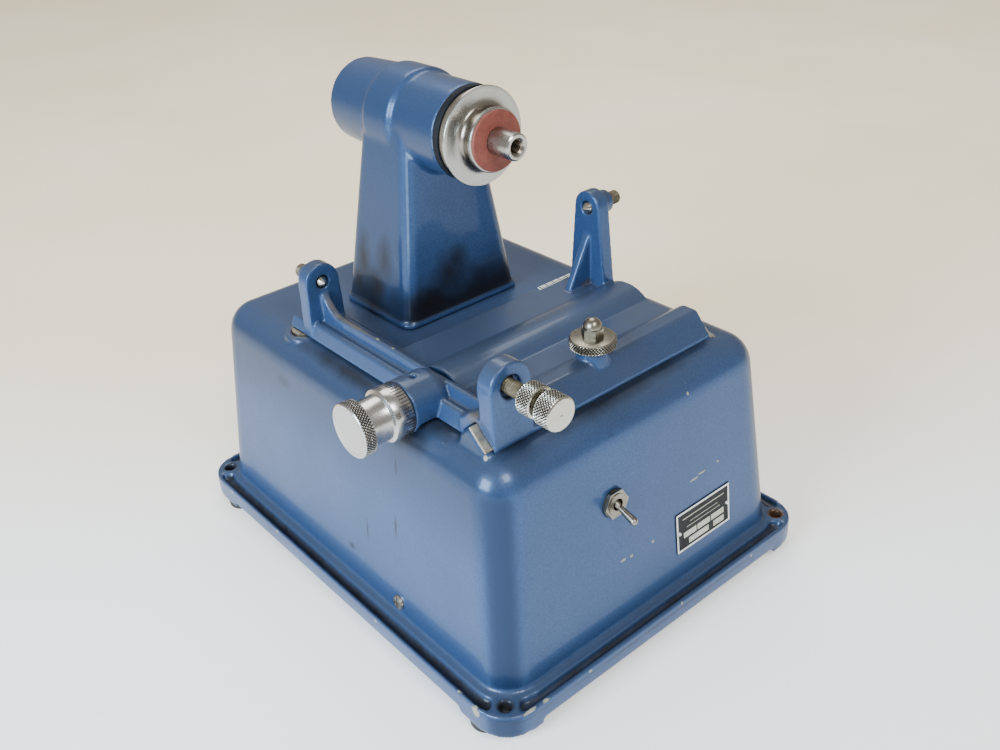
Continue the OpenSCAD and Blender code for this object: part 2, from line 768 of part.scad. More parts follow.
module slide_casting() color(cast_blue) {
    difference() {
        union() {
            prism_x(-66, slide_x1, plate_profile);
            prism_x(slide_x0, -65, ridge_profile);
            prism_y(slide_y0 + 2, beam_y1 - 14, beam_profile);
            prism_y(beam_y1 - 14.5, beam_y1, [
                [slide_x0 - 0.4, slide_z0], [slide_x0 + 2.6, 146.5], [-61, 146.5], [-58.5, slide_z0]
            ]);
            // lugs
            arch_lug_y(pivot_x, slide_y0, lug_front_y1, front_arch_r, slide_x0, pivot_x + front_arch_r + 0.6);
            arch_lug_y(pivot_x, lug_rear_y0, lug_rear_y1, rear_arch_r, slide_x0, -58.6);
            translate([pivot_x, 0, pivot_z]) rod_y(lug_rear_y1 - 1, lug_rear_y1 + 7, 7.6, 6.4);
            right_lug();
            // curved web from the rear lug down to the beam's rib
            prism_x(pivot_x - 2.4, pivot_x + 2.4, concat(
                [[lug_rear_y0 + 1, 150], [lug_rear_y0 + 1, 163]],
                arc(24, 173, 20, -26, -90, 8),
                [[22, 150]]
            ));
            // boss round the feed screw
            translate([0, feed_y, feed_z]) {
                rod_x(drum_x + 0.3, boss_end_x, drum_r);
                rod_x(boss_end_x - eps, boss_end_x + 3, drum_r, drum_r - 1);
                rod_x(boss_end_x + 2.9, boss_end_x + 8, drum_r - 1, drum_r - 6);
            }
            // boss under the stop wheel
            translate([stop_x, stop_y, 151.5]) cylinder(h = 7.3, r1 = 9, r2 = 7.4);
        }
        way_clearance();
        // the feed screw boss is cut flat above the housing's top and round its shoulder
        for (x = shoulder_x) translate([x, 0, body_h - edge_r]) rod_y(feed_y - 20, feed_y + 20, edge_r + 0.6);
        translate([-92, feed_y - 20, 120]) cube([40, 40, slide_z0 - 120]);
        // feed screw passage, bush seat and the nut's pocket
        translate([0, feed_y, feed_z]) rod_x(-100, -40, feed_r + 0.5);
        translate([0, feed_y, feed_z]) rod_x(-100, -72, 6);
        translate([-50, feed_y - 7, slide_z0 - 1]) cube([46, 14, 151.2 - slide_z0]);
        translate([-85, feed_y, feed_z]) cylinder(h = 20, r = 1.4);
        // centre screws and pivot stud
        translate([pivot_x, 0, pivot_z]) rod_y(slide_y0 - 1, lug_front_y1 + 1, centre_r + run_gap);
        translate([pivot_x, 0, pivot_z]) rod_y(slide_y0 - 1, slide_y0 + 3, 6);
        translate([pivot_x, 0, pivot_z]) rod_y(lug_rear_y0 - 1, 61, centre_r + 0.02);
        translate([0, right_lug_y, right_lug_z]) rod_x(55, 80, centre_r + 0.02);
        translate([stop_x, stop_y, 150]) cylinder(h = 12, r = stop_r + run_gap);
    }
}

// Brass strip between the slide and the front slope of the V-way
module gib_strip() color(brass_tone) {
    a = way_apex + 0.04 * gib_run;
    b = way_apex + 0.97 * gib_run;
    prism_x(slide_x0 - 3.9, slide_x1 - 0.5, [
        a + gib_low * gib_normal, b + gib_low * gib_normal, b + gib_high * gib_normal, a + gib_high * gib_normal
    ]);
}

module scale_strip() color([0.88, 0.87, 0.82])
    translate([36, slide_y1 - 4.2, plate_z + 0.02]) cube([25.4, 3, 0.5]);

module feed_bush() color(brass_tone)
    translate([0, feed_y, feed_z]) difference() {
        rod_x(drum_x + 0.5, -72.05, 5.95);
        rod_x(-100, -60, feed_r + run_gap);
    }

// Screw with a 60 degree point at the low end and a driver slot at the high end
module point_screw(length) {
    point_h = centre_r * tan(60) * 0.62;
    difference() {
        rotate_extrude() polygon([
            [0, 0], [0.4, 0], [centre_r, point_h], [centre_r, length - 0.6], [centre_r - 0.6, length], [0, length]
        ]);
        translate([-6, -0.6, length - 1.8]) cube([12, 1.2, 3]);
    }
}

module rear_centre_screw() color(steel)
    translate([pivot_x, 40.6, pivot_z]) rotate([-90, 0, 0]) point_screw(25.8);

module right_centre_screw() color(steel)
    translate([58.8, right_lug_y, right_lug_z]) rotate([0, 90, 0]) point_screw(26.4);

// ---------------------------------------------------------------- micrometer feed

module feed_screw() color(steel)
    translate([0, feed_y, feed_z]) {
        rod_x(knob_x + 2.5, -14, feed_r);
        rod_x(-14, -12.5, feed_r, feed_r - 1.2);
    }

module graduated_drum() color(brushed)
    translate([0, feed_y, feed_z]) difference() {
        union() {
            rod_x(drum_x - 10.3, drum_x - 0.1, drum_r);
            rod_x(drum_x - 20.6, drum_x - 10.2, drum_r - 2.2);
        }
        rod_x(knob_x - 5, drum_x + 1, feed_r + 0.01);
    }

module micrometer_knob() color(steel)
    translate([0, feed_y, feed_z]) difference() {
        union() {
            rod_x(knob_x, knob_x + 0.6, drum_r - 0.3, drum_r + 0.3);
            rod_x(knob_x + 0.6, knob_x + 7.06, drum_r + 0.3);
        }
        rod_x(knob_x + 2.4, knob_x + 9, feed_r + 0.01);
        rod_x(knob_x - 1, knob_x + 0.5, drum_r + 0.5, drum_r - 2.4);
    }

// ---------------------------------------------------------------- pivot screw

module pivot_axis() {
    translate([pivot_x, 0, pivot_z]) children();
}

module pivot_stud() color(steel)
    pivot_axis() {
        rod_y(-146, lug_front_y1 + 1, centre_r);
        rod_y(lug_front_y1 + 1, lug_front_y1 + 5, centre_r, 0.4);
    }

module pivot_lock_nut() color(steel)
    pivot_axis() difference() {
        union() {
            rod_y(-134.9, -134.3, 7.4, 8.2);
            rod_y(-134.3, -126.8, 8.2);
            rod_y(-126.8, -126.2, 8.2, 7.4);
        }
        rod_y(-140, -120, centre_r + run_gap);
    }

module pivot_knob() color(steel)
    pivot_axis() difference() {
        union() {
            rod_y(-148, -147.2, 7.6, 8.6);
            rod_y(-147.2, -138.8, 8.6);
            rod_y(-138.8, -138, 8.6, 7.8);
        }
        rod_y(-146.02, -130, centre_r + run_gap);
    }

// ---------------------------------------------------------------- height stop

module stop_axis() {
    translate([stop_x, stop_y, 0]) children();
}

module stop_stud() color(steel)
    stop_axis() translate([0, 0, 152.4]) cylinder(h = 18, r = stop_r);

module stop_wheel() color(steel)
    stop_axis() difference() {
        union() {
            translate([0, 0, 159.5]) cylinder(h = 0.7, r1 = 11.3, r2 = 12);
            translate([0, 0, 160.2]) cylinder(h = 4.1, r = 12);
            translate([0, 0, 164.3]) cylinder(h = 0.7, r1 = 12, r2 = 11.3);
        }
        translate([0, 0, 150]) cylinder(h = 30, r = stop_r + run_gap);
    }

module stop_cap_nut() color(steel)
    stop_axis() difference() {
        union() {
            translate([0, 0, 165.02]) cylinder(h = 5, r = 10 / sqrt(3), $fn = 6);
            translate([0, 0, 170.4]) sphere(4.8);
        }
        translate([0, 0, 150]) cylinder(h = 21, r = stop_r + run_gap);
    }

housing_casting();
base_cover();
base_cover_screws();
rubber_feet();
foot_screws();
nameplate();
nameplate_rivets();
switch_body();
switch_nut();
toggle_lever();
wall_plug();
cord_grommet();
rest_button();
column_casting();
column_bolts();
front_bearing();
rear_bearing();
felt_seal();
bearing_cap();
barrel_end_cap();
spindle_shaft();
large_flange();
small_flange();
fibre_washer();
spindle_pulley();
spindle_locknut();
drive_belt();
motor_shell();
motor_front_bell();
motor_rear_bell();
motor_rotor();
motor_shaft();
motor_pulley();
motor_saddle();
motor_straps();
motor_bolts();
motor_capacitor();
capacitor_clip();
feed_nut();
feed_nut_screws();
slide_casting();
gib_strip();
scale_strip();
feed_bush();
rear_centre_screw();
right_centre_screw();
feed_screw();
graduated_drum();
micrometer_knob();
pivot_stud();
pivot_lock_nut();
pivot_knob();
stop_stud();
stop_wheel();
stop_cap_nut();
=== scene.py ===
import bpy
import bmesh
import math
from mathutils import Matrix, Vector


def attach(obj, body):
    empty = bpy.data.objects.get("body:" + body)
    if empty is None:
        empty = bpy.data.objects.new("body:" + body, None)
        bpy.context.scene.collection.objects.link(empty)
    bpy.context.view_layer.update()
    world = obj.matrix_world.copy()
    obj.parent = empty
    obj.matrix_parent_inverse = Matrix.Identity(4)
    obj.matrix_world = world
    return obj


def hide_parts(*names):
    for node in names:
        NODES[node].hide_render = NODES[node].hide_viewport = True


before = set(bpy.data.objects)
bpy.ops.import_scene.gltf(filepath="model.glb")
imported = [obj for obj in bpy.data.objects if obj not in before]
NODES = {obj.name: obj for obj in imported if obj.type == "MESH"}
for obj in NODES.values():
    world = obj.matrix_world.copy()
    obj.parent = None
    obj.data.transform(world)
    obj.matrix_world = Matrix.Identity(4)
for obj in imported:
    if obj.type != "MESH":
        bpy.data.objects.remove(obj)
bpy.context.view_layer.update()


SCENE = bpy.context.scene
TAU = 2 * math.pi

# Main dimensions in metres, in the shared frame
HEAD_X = 0.003
HEAD_Z = 0.247
PIVOT_X = -0.0704
PIVOT_Z = 0.171
FEED_Y = -0.058
FEED_Z = 0.1455
STOP_X = -0.004
STOP_Y = -0.100
DRAFT = 0.092
FLOOR_Z = -0.0055
BOLT_X = 0.1074
BOLT_Y = 0.1410
WALL_Y = 0.1294
BODY_TOP = 0.138

# Grime and painted shade in the flange's sunken band, and dirt round the bolt holes:
# each pair is the distance or height where it ends and where it is full
BAND_X = (0.1178, 0.1165)
BAND_Y = (0.1510, 0.1495)
BAND_CORNER = (0.2500, 0.2475)
BAND_TOP = (0.0135, 0.0120)
BOSS_TOP = (0.0200, 0.0190)

# Edges sharper than these angles in degrees stay crisp: made pieces, and carried CAD nodes
SHARP_ANGLE = 32
CAD_SHARP_ANGLE = 35

# Camera and floor
CAMERA_AT = (-0.3281, -0.4284, 0.4201)
LENS_MM = 38.03
SENSOR_MM = 36
FLOOR_HALF = 6


# ------------------------------------------------------------ shader helpers

class Graph:
    """A material with one Principled shader and short ways to add nodes to it."""

    def __init__(self, name):
        self.mat = bpy.data.materials.new(name)
        self.mat.use_nodes = True
        self.tree = self.mat.node_tree
        self.nodes = self.tree.nodes
        self.bsdf = self.nodes["Principled BSDF"]
        self.coord = self.nodes.new("ShaderNodeTexCoord").outputs["Object"]

    def put(self, socket, value):
        if isinstance(value, bpy.types.NodeSocket):
            self.tree.links.new(value, socket)
        else:
            socket.default_value = value

    def set(self, **values):
        names = {
            "color": "Base Color", "rough": "Roughness", "metal": "Metallic", "normal": "Normal",
            "coat": "Coat Weight", "coat_rough": "Coat Roughness", "coat_normal": "Coat Normal",
            "spec": "Specular IOR Level",
        }
        for key, value in values.items():
            self.put(self.bsdf.inputs[names[key]], value)

    def math(self, op, a, b=0.0):
        node = self.nodes.new("ShaderNodeMath")
        node.operation = op
        self.put(node.inputs[0], a)
        self.put(node.inputs[1], b)
        return node.outputs[0]

    def vmath(self, op, a, b=(0, 0, 0)):
        node = self.nodes.new("ShaderNodeVectorMath")
        node.operation = op
        self.put(node.inputs[0], a)
        self.put(node.inputs[1], b)
        return node.outputs["Value"] if op in ("LENGTH", "DOT_PRODUCT") else node.outputs[0]

    def noise(self, scale, detail=3.0, rough=0.5, vector=None):
        node = self.nodes.new("ShaderNodeTexNoise")
        self.put(node.inputs["Vector"], vector or self.coord)
        self.put(node.inputs["Scale"], scale)
        self.put(node.inputs["Detail"], detail)
        self.put(node.inputs["Roughness"], rough)
        return node.outputs[0]

    def cells(self, scale):
        node = self.nodes.new("ShaderNodeTexVoronoi")
        node.feature = "SMOOTH_F1"
        self.put(node.inputs["Vector"], self.coord)
        self.put(node.inputs["Scale"], scale)
        return node.outputs["Distance"]

    def fit(self, value, low, high, to_low=0.0, to_high=1.0, smooth=False):
        node = self.nodes.new("ShaderNodeMapRange")
        node.interpolation_type = "SMOOTHSTEP" if smooth else "LINEAR"
        for i, v in enumerate((value, low, high, to_low, to_high)):
            self.put(node.inputs[i], v)
        return node.outputs[0]

    def mix(self, factor, a, b):
        node = self.nodes.new("ShaderNodeMix")
        node.data_type = "RGBA"
        self.put(node.inputs[0], factor)
        self.put(node.inputs[6], a if isinstance(a, bpy.types.NodeSocket) else (*a, 1))
        self.put(node.inputs[7], b if isinstance(b, bpy.types.NodeSocket) else (*b, 1))
        return node.outputs[2]

    def bump(self, height, strength, distance, normal=None):
        node = self.nodes.new("ShaderNodeBump")
        self.put(node.inputs["Strength"], strength)
        self.put(node.inputs["Distance"], distance)
        self.put(node.inputs["Height"], height)
        if normal is not None:
            self.put(node.inputs["Normal"], normal)
        return node.outputs[0]

    def split(self, vector=None):
        node = self.nodes.new("ShaderNodeSeparateXYZ")
        self.put(node.inputs[0], vector or self.coord)
        return node.outputs

    def join(self, x, y, z):
        node = self.nodes.new("ShaderNodeCombineXYZ")
        for i, v in enumerate((x, y, z)):
            self.put(node.inputs[i], v)
        return node.outputs[0]

    def facing(self):
        """Normal of the unbent surface in object space, as separate X, Y and Z."""
        geo = self.nodes.new("ShaderNodeNewGeometry")
        node = self.nodes.new("ShaderNodeVectorTransform")
        node.vector_type = "NORMAL"
        node.convert_from = "WORLD"
        node.convert_to = "OBJECT"
        self.put(node.inputs[0], geo.outputs["Normal"])
        return self.split(node.outputs[0])

    def edge(self, low, high):
        """Surface curvature fitted to 0 to 1: hollows are low, outward edges are high."""
        geo = self.nodes.new("ShaderNodeNewGeometry")
        return self.fit(geo.outputs["Pointiness"], low, high)

    def radius(self, axis, centre):
        """Distance from a line through centre along an axis."""
        x, y, z = self.split(self.vmath("SUBTRACT", self.coord, centre))
        flat = {"x": (0.0, y, z), "y": (x, 0.0, z), "z": (x, y, 0.0)}[axis]
        return self.vmath("LENGTH", self.join(*flat))

    def spots(self, places, soft, ragged, scale):
        """Ragged patches: each place is (centre, radii) in metres. Returns a 0 to 1 mask."""
        wobble = self.math("MULTIPLY", self.math("SUBTRACT", self.noise(scale, 3.0, 0.6), 0.5),
            ragged * 2)
        total = 0.0
        for centre, radii in places:
            v = self.vmath("DIVIDE", self.vmath("SUBTRACT", self.coord, centre), radii)
            d = self.math("ADD", self.vmath("LENGTH", v), wobble)
            m = self.fit(d, 1.0, 1.0 - soft)
            total = m if isinstance(total, float) else self.math("MAXIMUM", total, m)
        return total


PRIMER = (0.27, 0.27, 0.18)
# near black, used for grime and for painted shade
GRIME_AND_SHADE = (0.012, 0.011, 0.012)


def flange_grime_and_shade(g, base, rough):
    """Grime and painted shade in the flange's sunken band, dirt round the bolt holes, painted shade on
    the upright corners.
    """
    x, y, z = g.split()
    nx, ny, nz = g.facing()
    # painted shade: the upright rounded corners are darkened
    corner = g.math("ADD", g.math("MULTIPLY", g.math("ABSOLUTE", nx), 0.707),
        g.math("MULTIPLY", g.math("ABSOLUTE", ny), 0.707))
    corner = g.math("MULTIPLY", g.fit(corner, 0.82, 0.985, 0.0, 1.0, True),
        g.fit(g.math("ABSOLUTE", nz), 0.50, 0.15))
    base = g.mix(g.math("MULTIPLY", corner, 0.95), base, (0.009, 0.027, 0.075))
    # grime and painted shade in the sunken band round the walls' foot
    inside = g.math("MULTIPLY", g.fit(g.math("ABSOLUTE", x), *BAND_X),
        g.fit(g.math("ABSOLUTE", y), *BAND_Y))
    across = g.math("ADD", g.math("ABSOLUTE", x), g.math("ABSOLUTE", y))
    inside = g.math("MULTIPLY", inside, g.fit(across, *BAND_CORNER))
    sunk_grime_and_shade = g.math("MULTIPLY", inside, g.fit(z, *BAND_TOP))
    patchy = g.fit(g.noise(120.0, 4.0, 0.6), 0.3, 0.7, 0.55, 0.95)
    base = g.mix(g.math("MULTIPLY", sunk_grime_and_shade, patchy), base, GRIME_AND_SHADE)
    rough = g.math("ADD", rough, g.math("MULTIPLY", sunk_grime_and_shade, 0.2))
    spot = g.vmath("LENGTH", g.join(g.math("SUBTRACT", g.math("ABSOLUTE", x), BOLT_X),
        g.math("SUBTRACT", g.math("ABSOLUTE", y), BOLT_Y), 0.0))
    ring = g.math("MULTIPLY", g.fit(spot, 0.0052, 0.0037), g.fit(z, *BOSS_TOP))
    base = g.mix(g.math("MULTIPLY", ring, 0.85), base, (0.020, 0.019, 0.020))
    rust = g.math("MULTIPLY", g.math("MULTIPLY", g.fit(x, 0.098, 0.101), g.fit(y, -0.134, -0.137)),
        g.fit(spot, 0.0056, 0.0040))
    return g.mix(g.math("MULTIPLY", rust, 0.8), base, (0.10, 0.052, 0.024)), rough


def enamel(name, chips=(), dark=(), brown=(), primer=(), streaks=False, edge_wear=0.35, foot=None,
           base_flange=False, dust_and_sheen=0.55, left_shade=None):
    """Glossy blue enamel with a fine metallic mottle, orange peel, grime and chips.

    chips, dark, brown and primer are patches, each (centre, radii); dark patches serve both as
    painted shade and shadow and as real stains. foot is the pair of heights between which grime
    fades out above a casting's foot; it also turns on a painted highlight down the upright corners,
    stronger higher up. left_shade is (low, high, amount): how much darker the left side gets
    between two heights. The dust amount greys upward faces, for dust and a painted sheen.
    """
    g = Graph(name)
    mottle = g.noise(900.0, 2.0, 0.6)
    cloud = g.noise(22.0, 4.0, 0.55)
    base = g.mix(g.fit(mottle, 0.36, 0.64), (0.028, 0.066, 0.168), (0.040, 0.086, 0.205))
    base = g.mix(g.fit(cloud, 0.35, 0.7, 0.0, 0.40), base, (0.033, 0.068, 0.155))
    flake = g.fit(g.noise(2300.0, 1.0, 0.5), 0.60, 0.72)
    base = g.mix(g.math("MULTIPLY", flake, 0.12), base, (0.14, 0.22, 0.36))
    rough = g.fit(cloud, 0.3, 0.75, 0.30, 0.40)
    if foot:
        rise = g.math("ADD", g.split()[2], g.fit(g.noise(26.0, 3.0, 0.6), 0.3, 0.7, -0.007, 0.007))
        ledge = g.fit(g.split()[2], foot[0] + 0.0015, foot[0] + 0.0035)
        base = g.mix(g.math("MULTIPLY", ledge, g.fit(rise, foot[1], foot[0] + 0.006, 0.0, 0.95, True)),
            base, GRIME_AND_SHADE)
        # painted highlight: a light band down the upright rounded corners, stronger higher up
        nx, ny, nz = g.facing()
        corner = g.math("ADD", g.math("MULTIPLY", g.math("ABSOLUTE", nx), 0.69),
            g.math("MULTIPLY", g.math("ABSOLUTE", ny), 0.715))
        corner = g.math("MULTIPLY", g.fit(corner, 0.975, 0.992), g.fit(nz, 0.35, 0.15))
        corner = g.math("MULTIPLY", corner,
            g.fit(g.split()[2], foot[1] - 0.004, foot[1] + 0.020, 0.12, 0.75))
        base = g.mix(corner, base, (0.30, 0.42, 0.62))
    if left_shade:
        to_left = g.fit(g.facing()[0], -0.4, -0.9)
        height_part = g.fit(g.split()[2], left_shade[0], left_shade[1], 0.0, left_shade[2], True)
        base = g.mix(g.math("MULTIPLY", to_left, height_part), base, (0.010, 0.026, 0.066))
    # dust with a painted grey sheen on upward faces, painted shade and grime in hollows, and dark
    # patches, which are painted shadows as well as real stains
    dust_and_sheen_mask = g.fit(g.facing()[2], 0.25, 0.9, 0.0, dust_and_sheen)
    dust_and_sheen_mask = g.math("MULTIPLY", dust_and_sheen_mask, g.fit(g.noise(35.0, 4.0, 0.6), 0.3, 0.7, 0.65, 1.0))
    base = g.mix(dust_and_sheen_mask, base, (0.062, 0.074, 0.096))
    # painted shade and grime: hollows darkened by curvature
    hollow_grime_and_shade = g.math("SUBTRACT", 1.0, g.edge(0.40, 0.49))
    hollow_grime_and_shade = g.math("MULTIPLY", hollow_grime_and_shade, g.fit(g.noise(160.0, 4.0, 0.6), 0.35, 0.65, 0.25, 0.85))
    base = g.mix(g.math("MULTIPLY", hollow_grime_and_shade, 0.75), base, GRIME_AND_SHADE)
    if base_flange:
        base, rough = flange_grime_and_shade(g, base, rough)
    # dark patches: painted shadow and shade where placed so, real stains elsewhere
    if dark:
        dark_patch = g.spots(dark, 0.9, 0.45, 60.0)
        base = g.mix(g.math("MULTIPLY", dark_patch, 0.80), base, GRIME_AND_SHADE)
        rough = g.math("ADD", rough, g.math("MULTIPLY", dark_patch, 0.10))
    if streaks:
        x, y, z = g.split()
        runs = g.noise(1.0, 3.0, 0.6, g.join(g.math("MULTIPLY", x, 150.0), g.math("MULTIPLY", y, 150.0),
            g.math("MULTIPLY", z, 9.0)))
        runs = g.math("MULTIPLY", g.fit(runs, 0.60, 0.78), g.fit(z, 0.13, 0.03, 0.55, 0.1))
        base = g.mix(g.math("MULTIPLY", runs, 0.45), base, (0.035, 0.05, 0.085))
    if brown:
        worn = g.spots(brown, 0.7, 0.6, 380.0)
        base = g.mix(g.math("MULTIPLY", worn, 0.75), base, (0.13, 0.105, 0.075))
        rough = g.math("ADD", rough, g.math("MULTIPLY", worn, 0.2))
    rub = g.math("MULTIPLY", g.edge(0.53, 0.62), g.fit(g.noise(240.0, 4.0, 0.65), 0.45, 0.62))
    base = g.mix(g.math("MULTIPLY", rub, edge_wear), base, (0.24, 0.30, 0.40))
    height = g.math("ADD", g.math("MULTIPLY", g.cells(420.0), 0.5), g.math("MULTIPLY", mottle, 0.3))
    if chips or primer:
        chipped = g.spots([(c, tuple(v * 0.85 for v in r)) for c, r in chips] + list(primer),
            0.30, 0.75, 650.0)
        tone = g.mix(g.noise(500.0, 2.0), PRIMER, (0.42, 0.41, 0.32))
        base = g.mix(chipped, base, tone)
        rough = g.math("MAXIMUM", rough, g.math("MULTIPLY", chipped, 0.75))
        height = g.math("SUBTRACT", height, g.math("MULTIPLY", chipped, 1.4))
    peel = g.bump(height, 0.20, 0.00025, g.bump(g.noise(60.0, 2.0, 0.4), 0.08, 0.002))
    g.set(color=base, rough=rough, metal=0.35, coat=0.22, coat_rough=0.06, normal=peel,
          coat_normal=g.bump(g.noise(170.0, 2.0, 0.5), 0.05, 0.001), spec=0.25)
    return g.mat


def turned(name, light, dark, axis, centre, rough=0.24, rings=2600.0, stain=None, stain_amount=0.25,
           grooves=(), hub=None, hollow_dirt_and_shade=0.35):
    """Metal with fine tool rings round an axis, small scratches and handling stains.

    grooves are knurled bands, darkened deep in the grooves by dirt and painted shade. hub is the
    pair of radii between which a painted brown ring round the bore, for reflection and shade, fades
    out. The amount for hollows darkens them with dirt and painted shade.
    """
    g = Graph(name)
    r = g.radius(axis, centre)
    ring = g.noise(1.0, 3.0, 0.7, g.join(g.math("MULTIPLY", r, rings), 0.0, 0.0))
    cloud = g.noise(130.0, 4.0, 0.6)
    fine = g.noise(1900.0, 2.0, 0.6)
    base = g.mix(g.fit(ring, 0.3, 0.7), dark, light)
    base = g.mix(g.fit(cloud, 0.52, 0.78, 0.0, stain_amount), base,
        stain or tuple(c * 0.45 for c in dark))
    # dirt and painted shade in hollows
    base = g.mix(g.math("MULTIPLY", g.math("SUBTRACT", 1.0, g.edge(0.42, 0.49)), hollow_dirt_and_shade), base,
        (0.03, 0.025, 0.02))
    # dirt and painted shade deep in the knurl grooves
    for rim, depth, low, high in grooves:
        along = g.split()["xyz".index(axis)]
        inside = g.math("MULTIPLY", g.fit(along, low, low + 0.0002), g.fit(along, high, high - 0.0002))
        deep = g.math("MULTIPLY", g.fit(r, rim - depth * 0.10, rim - depth * 0.75, 0.25, 1.0),
            g.fit(r, rim - depth * 1.5, rim - depth * 1.4))
        base = g.mix(g.math("MULTIPLY", g.math("MULTIPLY", inside, deep), 0.85), base,
            (0.035, 0.026, 0.016))
    # painted reflection and shade: a brown ring round the bore
    if hub:
        base = g.mix(g.fit(r, hub[1], hub[0], 0.0, 0.75, True), base, (0.16, 0.115, 0.075))
    ruff = g.math("ADD", g.fit(cloud, 0.35, 0.7, rough * 0.9, rough * 1.2),
        g.fit(fine, 0.4, 0.7, -0.02, 0.03))
    height = g.math("ADD", g.math("MULTIPLY", ring, 0.7), g.math("MULTIPLY", fine, 0.2))
    g.set(color=base, metal=1.0, rough=ruff, normal=g.bump(height, 0.14, 0.00004))
    return g.mat


def surface(name, low, high, rough=(0.4, 0.6), metal=0.0, scale=300.0, bump=0.15, depth=0.0002,
            spec=0.5):
    """General finish: two tones mixed by noise, uneven roughness, grain, painted shade in hollows."""
    g = Graph(name)
    cloud = g.noise(scale * 0.25, 4.0, 0.6)
    grain = g.noise(scale * 4.0, 3.0, 0.6)
    base = g.mix(g.fit(cloud, 0.3, 0.7), low, high)
    # painted shade: hollows darkened to a darker copy of the low tone
    base = g.mix(g.math("MULTIPLY", g.math("SUBTRACT", 1.0, g.edge(0.42, 0.49)), 0.4), base,
        tuple(c * 0.2 for c in low))
    g.set(color=base, metal=metal, rough=g.fit(g.noise(scale * 0.6, 3.0), 0.3, 0.7, *rough),
          normal=g.bump(grain, bump, depth), spec=spec)
    return g.mat


# ------------------------------------------------------------ mesh helpers

def place(name, verts, faces, body, material, replaces=()):
    """Makes a mesh piece, rides it on a CAD body and lets it stand for CAD nodes."""
    mesh = bpy.data.meshes.new(name)
    mesh.from_pydata(verts, [], faces)
    work = bmesh.new()
    work.from_mesh(mesh)
    bmesh.ops.remove_doubles(work, verts=work.verts, dist=1e-7)
    bmesh.ops.recalc_face_normals(work, faces=work.faces)
    work.to_mesh(mesh)
    work.free()
    return finish_piece(name, mesh, body, material, replaces, SHARP_ANGLE)


def finish_piece(name, mesh, body, material, replaces, sharp):
    mesh.materials.clear()
    mesh.materials.append(material)
    mesh.polygons.foreach_set("use_smooth", [True] * len(mesh.polygons))
    if sharp:
        mesh.set_sharp_from_angle(angle=math.radians(sharp))
    piece = bpy.data.objects.new(name, mesh)
    SCENE.collection.objects.link(piece)
    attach(piece, body)
    if replaces:
        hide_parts(*replaces)
    return piece


def on_axis(axis, origin, r, angle, along):
    """Point at a radius and angle round an axis; along is the coordinate on the axis."""
    u, v = r * math.cos(angle), r * math.sin(angle)
    ox, oy, oz = origin
    if axis == "x":
        return (along, oy + u, oz + v)
    if axis == "y":
        return (ox + u, along, oz + v)
    return (ox + u, oy + v, along)


def lathe(axis, origin, profile, sides=128, shape=None):
    """Turned mesh from (radius, along) points in metres. shape(r, angle, along) may alter r."""
    verts, faces, rows = [], [], []
    for r, along in profile:
        if r <= 0:
            rows.append([len(verts)])
            verts.append(on_axis(axis, origin, 0.0, 0.0, along))
            continue
        row = []
        for i in range(sides):
            angle = TAU * i / sides
            row.append(len(verts))
            verts.append(on_axis(axis, origin, shape(r, angle, along) if shape else r, angle, along))
        rows.append(row)
    for a, b in zip(rows, rows[1:]):
        for i in range(sides):
            j = (i + 1) % sides
            if len(a) == 1 and len(b) > 1:
                faces.append((a[0], b[i], b[j]))
            elif len(b) == 1 and len(a) > 1:
                faces.append((a[i], b[0], a[j]))
            elif len(a) > 1 and len(b) > 1:
                faces.append((a[i], b[i], b[j], a[j]))
    return verts, faces


def closed(profile):
    """Profile that returns to its first point, for a ring with a bore."""
    return list(profile) + [profile[0]]


def mm(points):
    return [(r * 0.001, a * 0.001) for r, a in points]


def steps(a, b, size):
    count = max(1, int(round(abs(b - a) / size)))
    return [a + (b - a) * i / count for i in range(count + 1)]


def diamond(pitch, rim, depth, low, high):
    """Shape function for crossed knurl grooves on a rim, and the number of sides it needs."""
    count = int(round(TAU * rim / pitch))

    def shape(r, angle, along):
        if abs(r - rim) > 1e-6 or along < low or along > high:
            return r
        a = count * angle / TAU
        b = along / (pitch * 1.15)
        first = abs((a + b) % 1.0 - 0.5) * 2
        second = abs((a - b) % 1.0 - 0.5) * 2
        groove = max(first, second)
        return r - depth * max(0.0, groove - 0.35) / 0.65
    return shape, count * 8


def thread(outside, pitch, depth):
    """Shape function: a single-start thread on the given outside radius."""
    def shape(r, angle, along):
        if abs(r - outside) > 1e-6:
            return r
        phase = abs((along / pitch - angle / TAU) % 1.0 - 0.5) * 2
        return r - depth * phase
    return shape


def cast_skin(name, node, voxel, passes, material, body):
    """Softened skin over a CAD casting: the same solid with cast fillets and rounded edges."""
    mesh = NODES[node].data.copy()
    work = bmesh.new()
    work.from_mesh(mesh)
    bmesh.ops.remove_doubles(work, verts=work.verts, dist=2e-6)
    work.to_mesh(mesh)
    work.free()
    temp = bpy.data.objects.new("temp_" + node, mesh)
    SCENE.collection.objects.link(temp)
    remesh = temp.modifiers.new("skin", "REMESH")
    remesh.mode = "VOXEL"
    remesh.voxel_size = voxel
    soften = temp.modifiers.new("soften", "SMOOTH")
    soften.factor = 0.5
    soften.iterations = passes
    done = bpy.data.meshes.new_from_object(temp.evaluated_get(bpy.context.evaluated_depsgraph_get()))
    bpy.data.objects.remove(temp)
    done.name = name
    return finish_piece(name, done, body, material, (node,), None)


def block(lo, hi):
    """Vertices and faces of an upright box."""
    v = [(x, y, z) for x in (lo[0], hi[0]) for y in (lo[1], hi[1]) for z in (lo[2], hi[2])]
    f = [(0, 1, 3, 2), (4, 6, 7, 5), (0, 4, 5, 1), (2, 3, 7, 6), (0, 2, 6, 4), (1, 5, 7, 3)]
    return v, f


def gather(parts):
    """Joins several (vertices, faces) pairs into one."""
    verts, faces = [], []
    for v, f in parts:
        base = len(verts)
        verts += v
        faces += [tuple(i + base for i in face) for face in f]
    return verts, faces


def moved(part, change):
    return [tuple(change(Vector(v))) for v in part[0]], part[1]


# ------------------------------------------------------------ materials

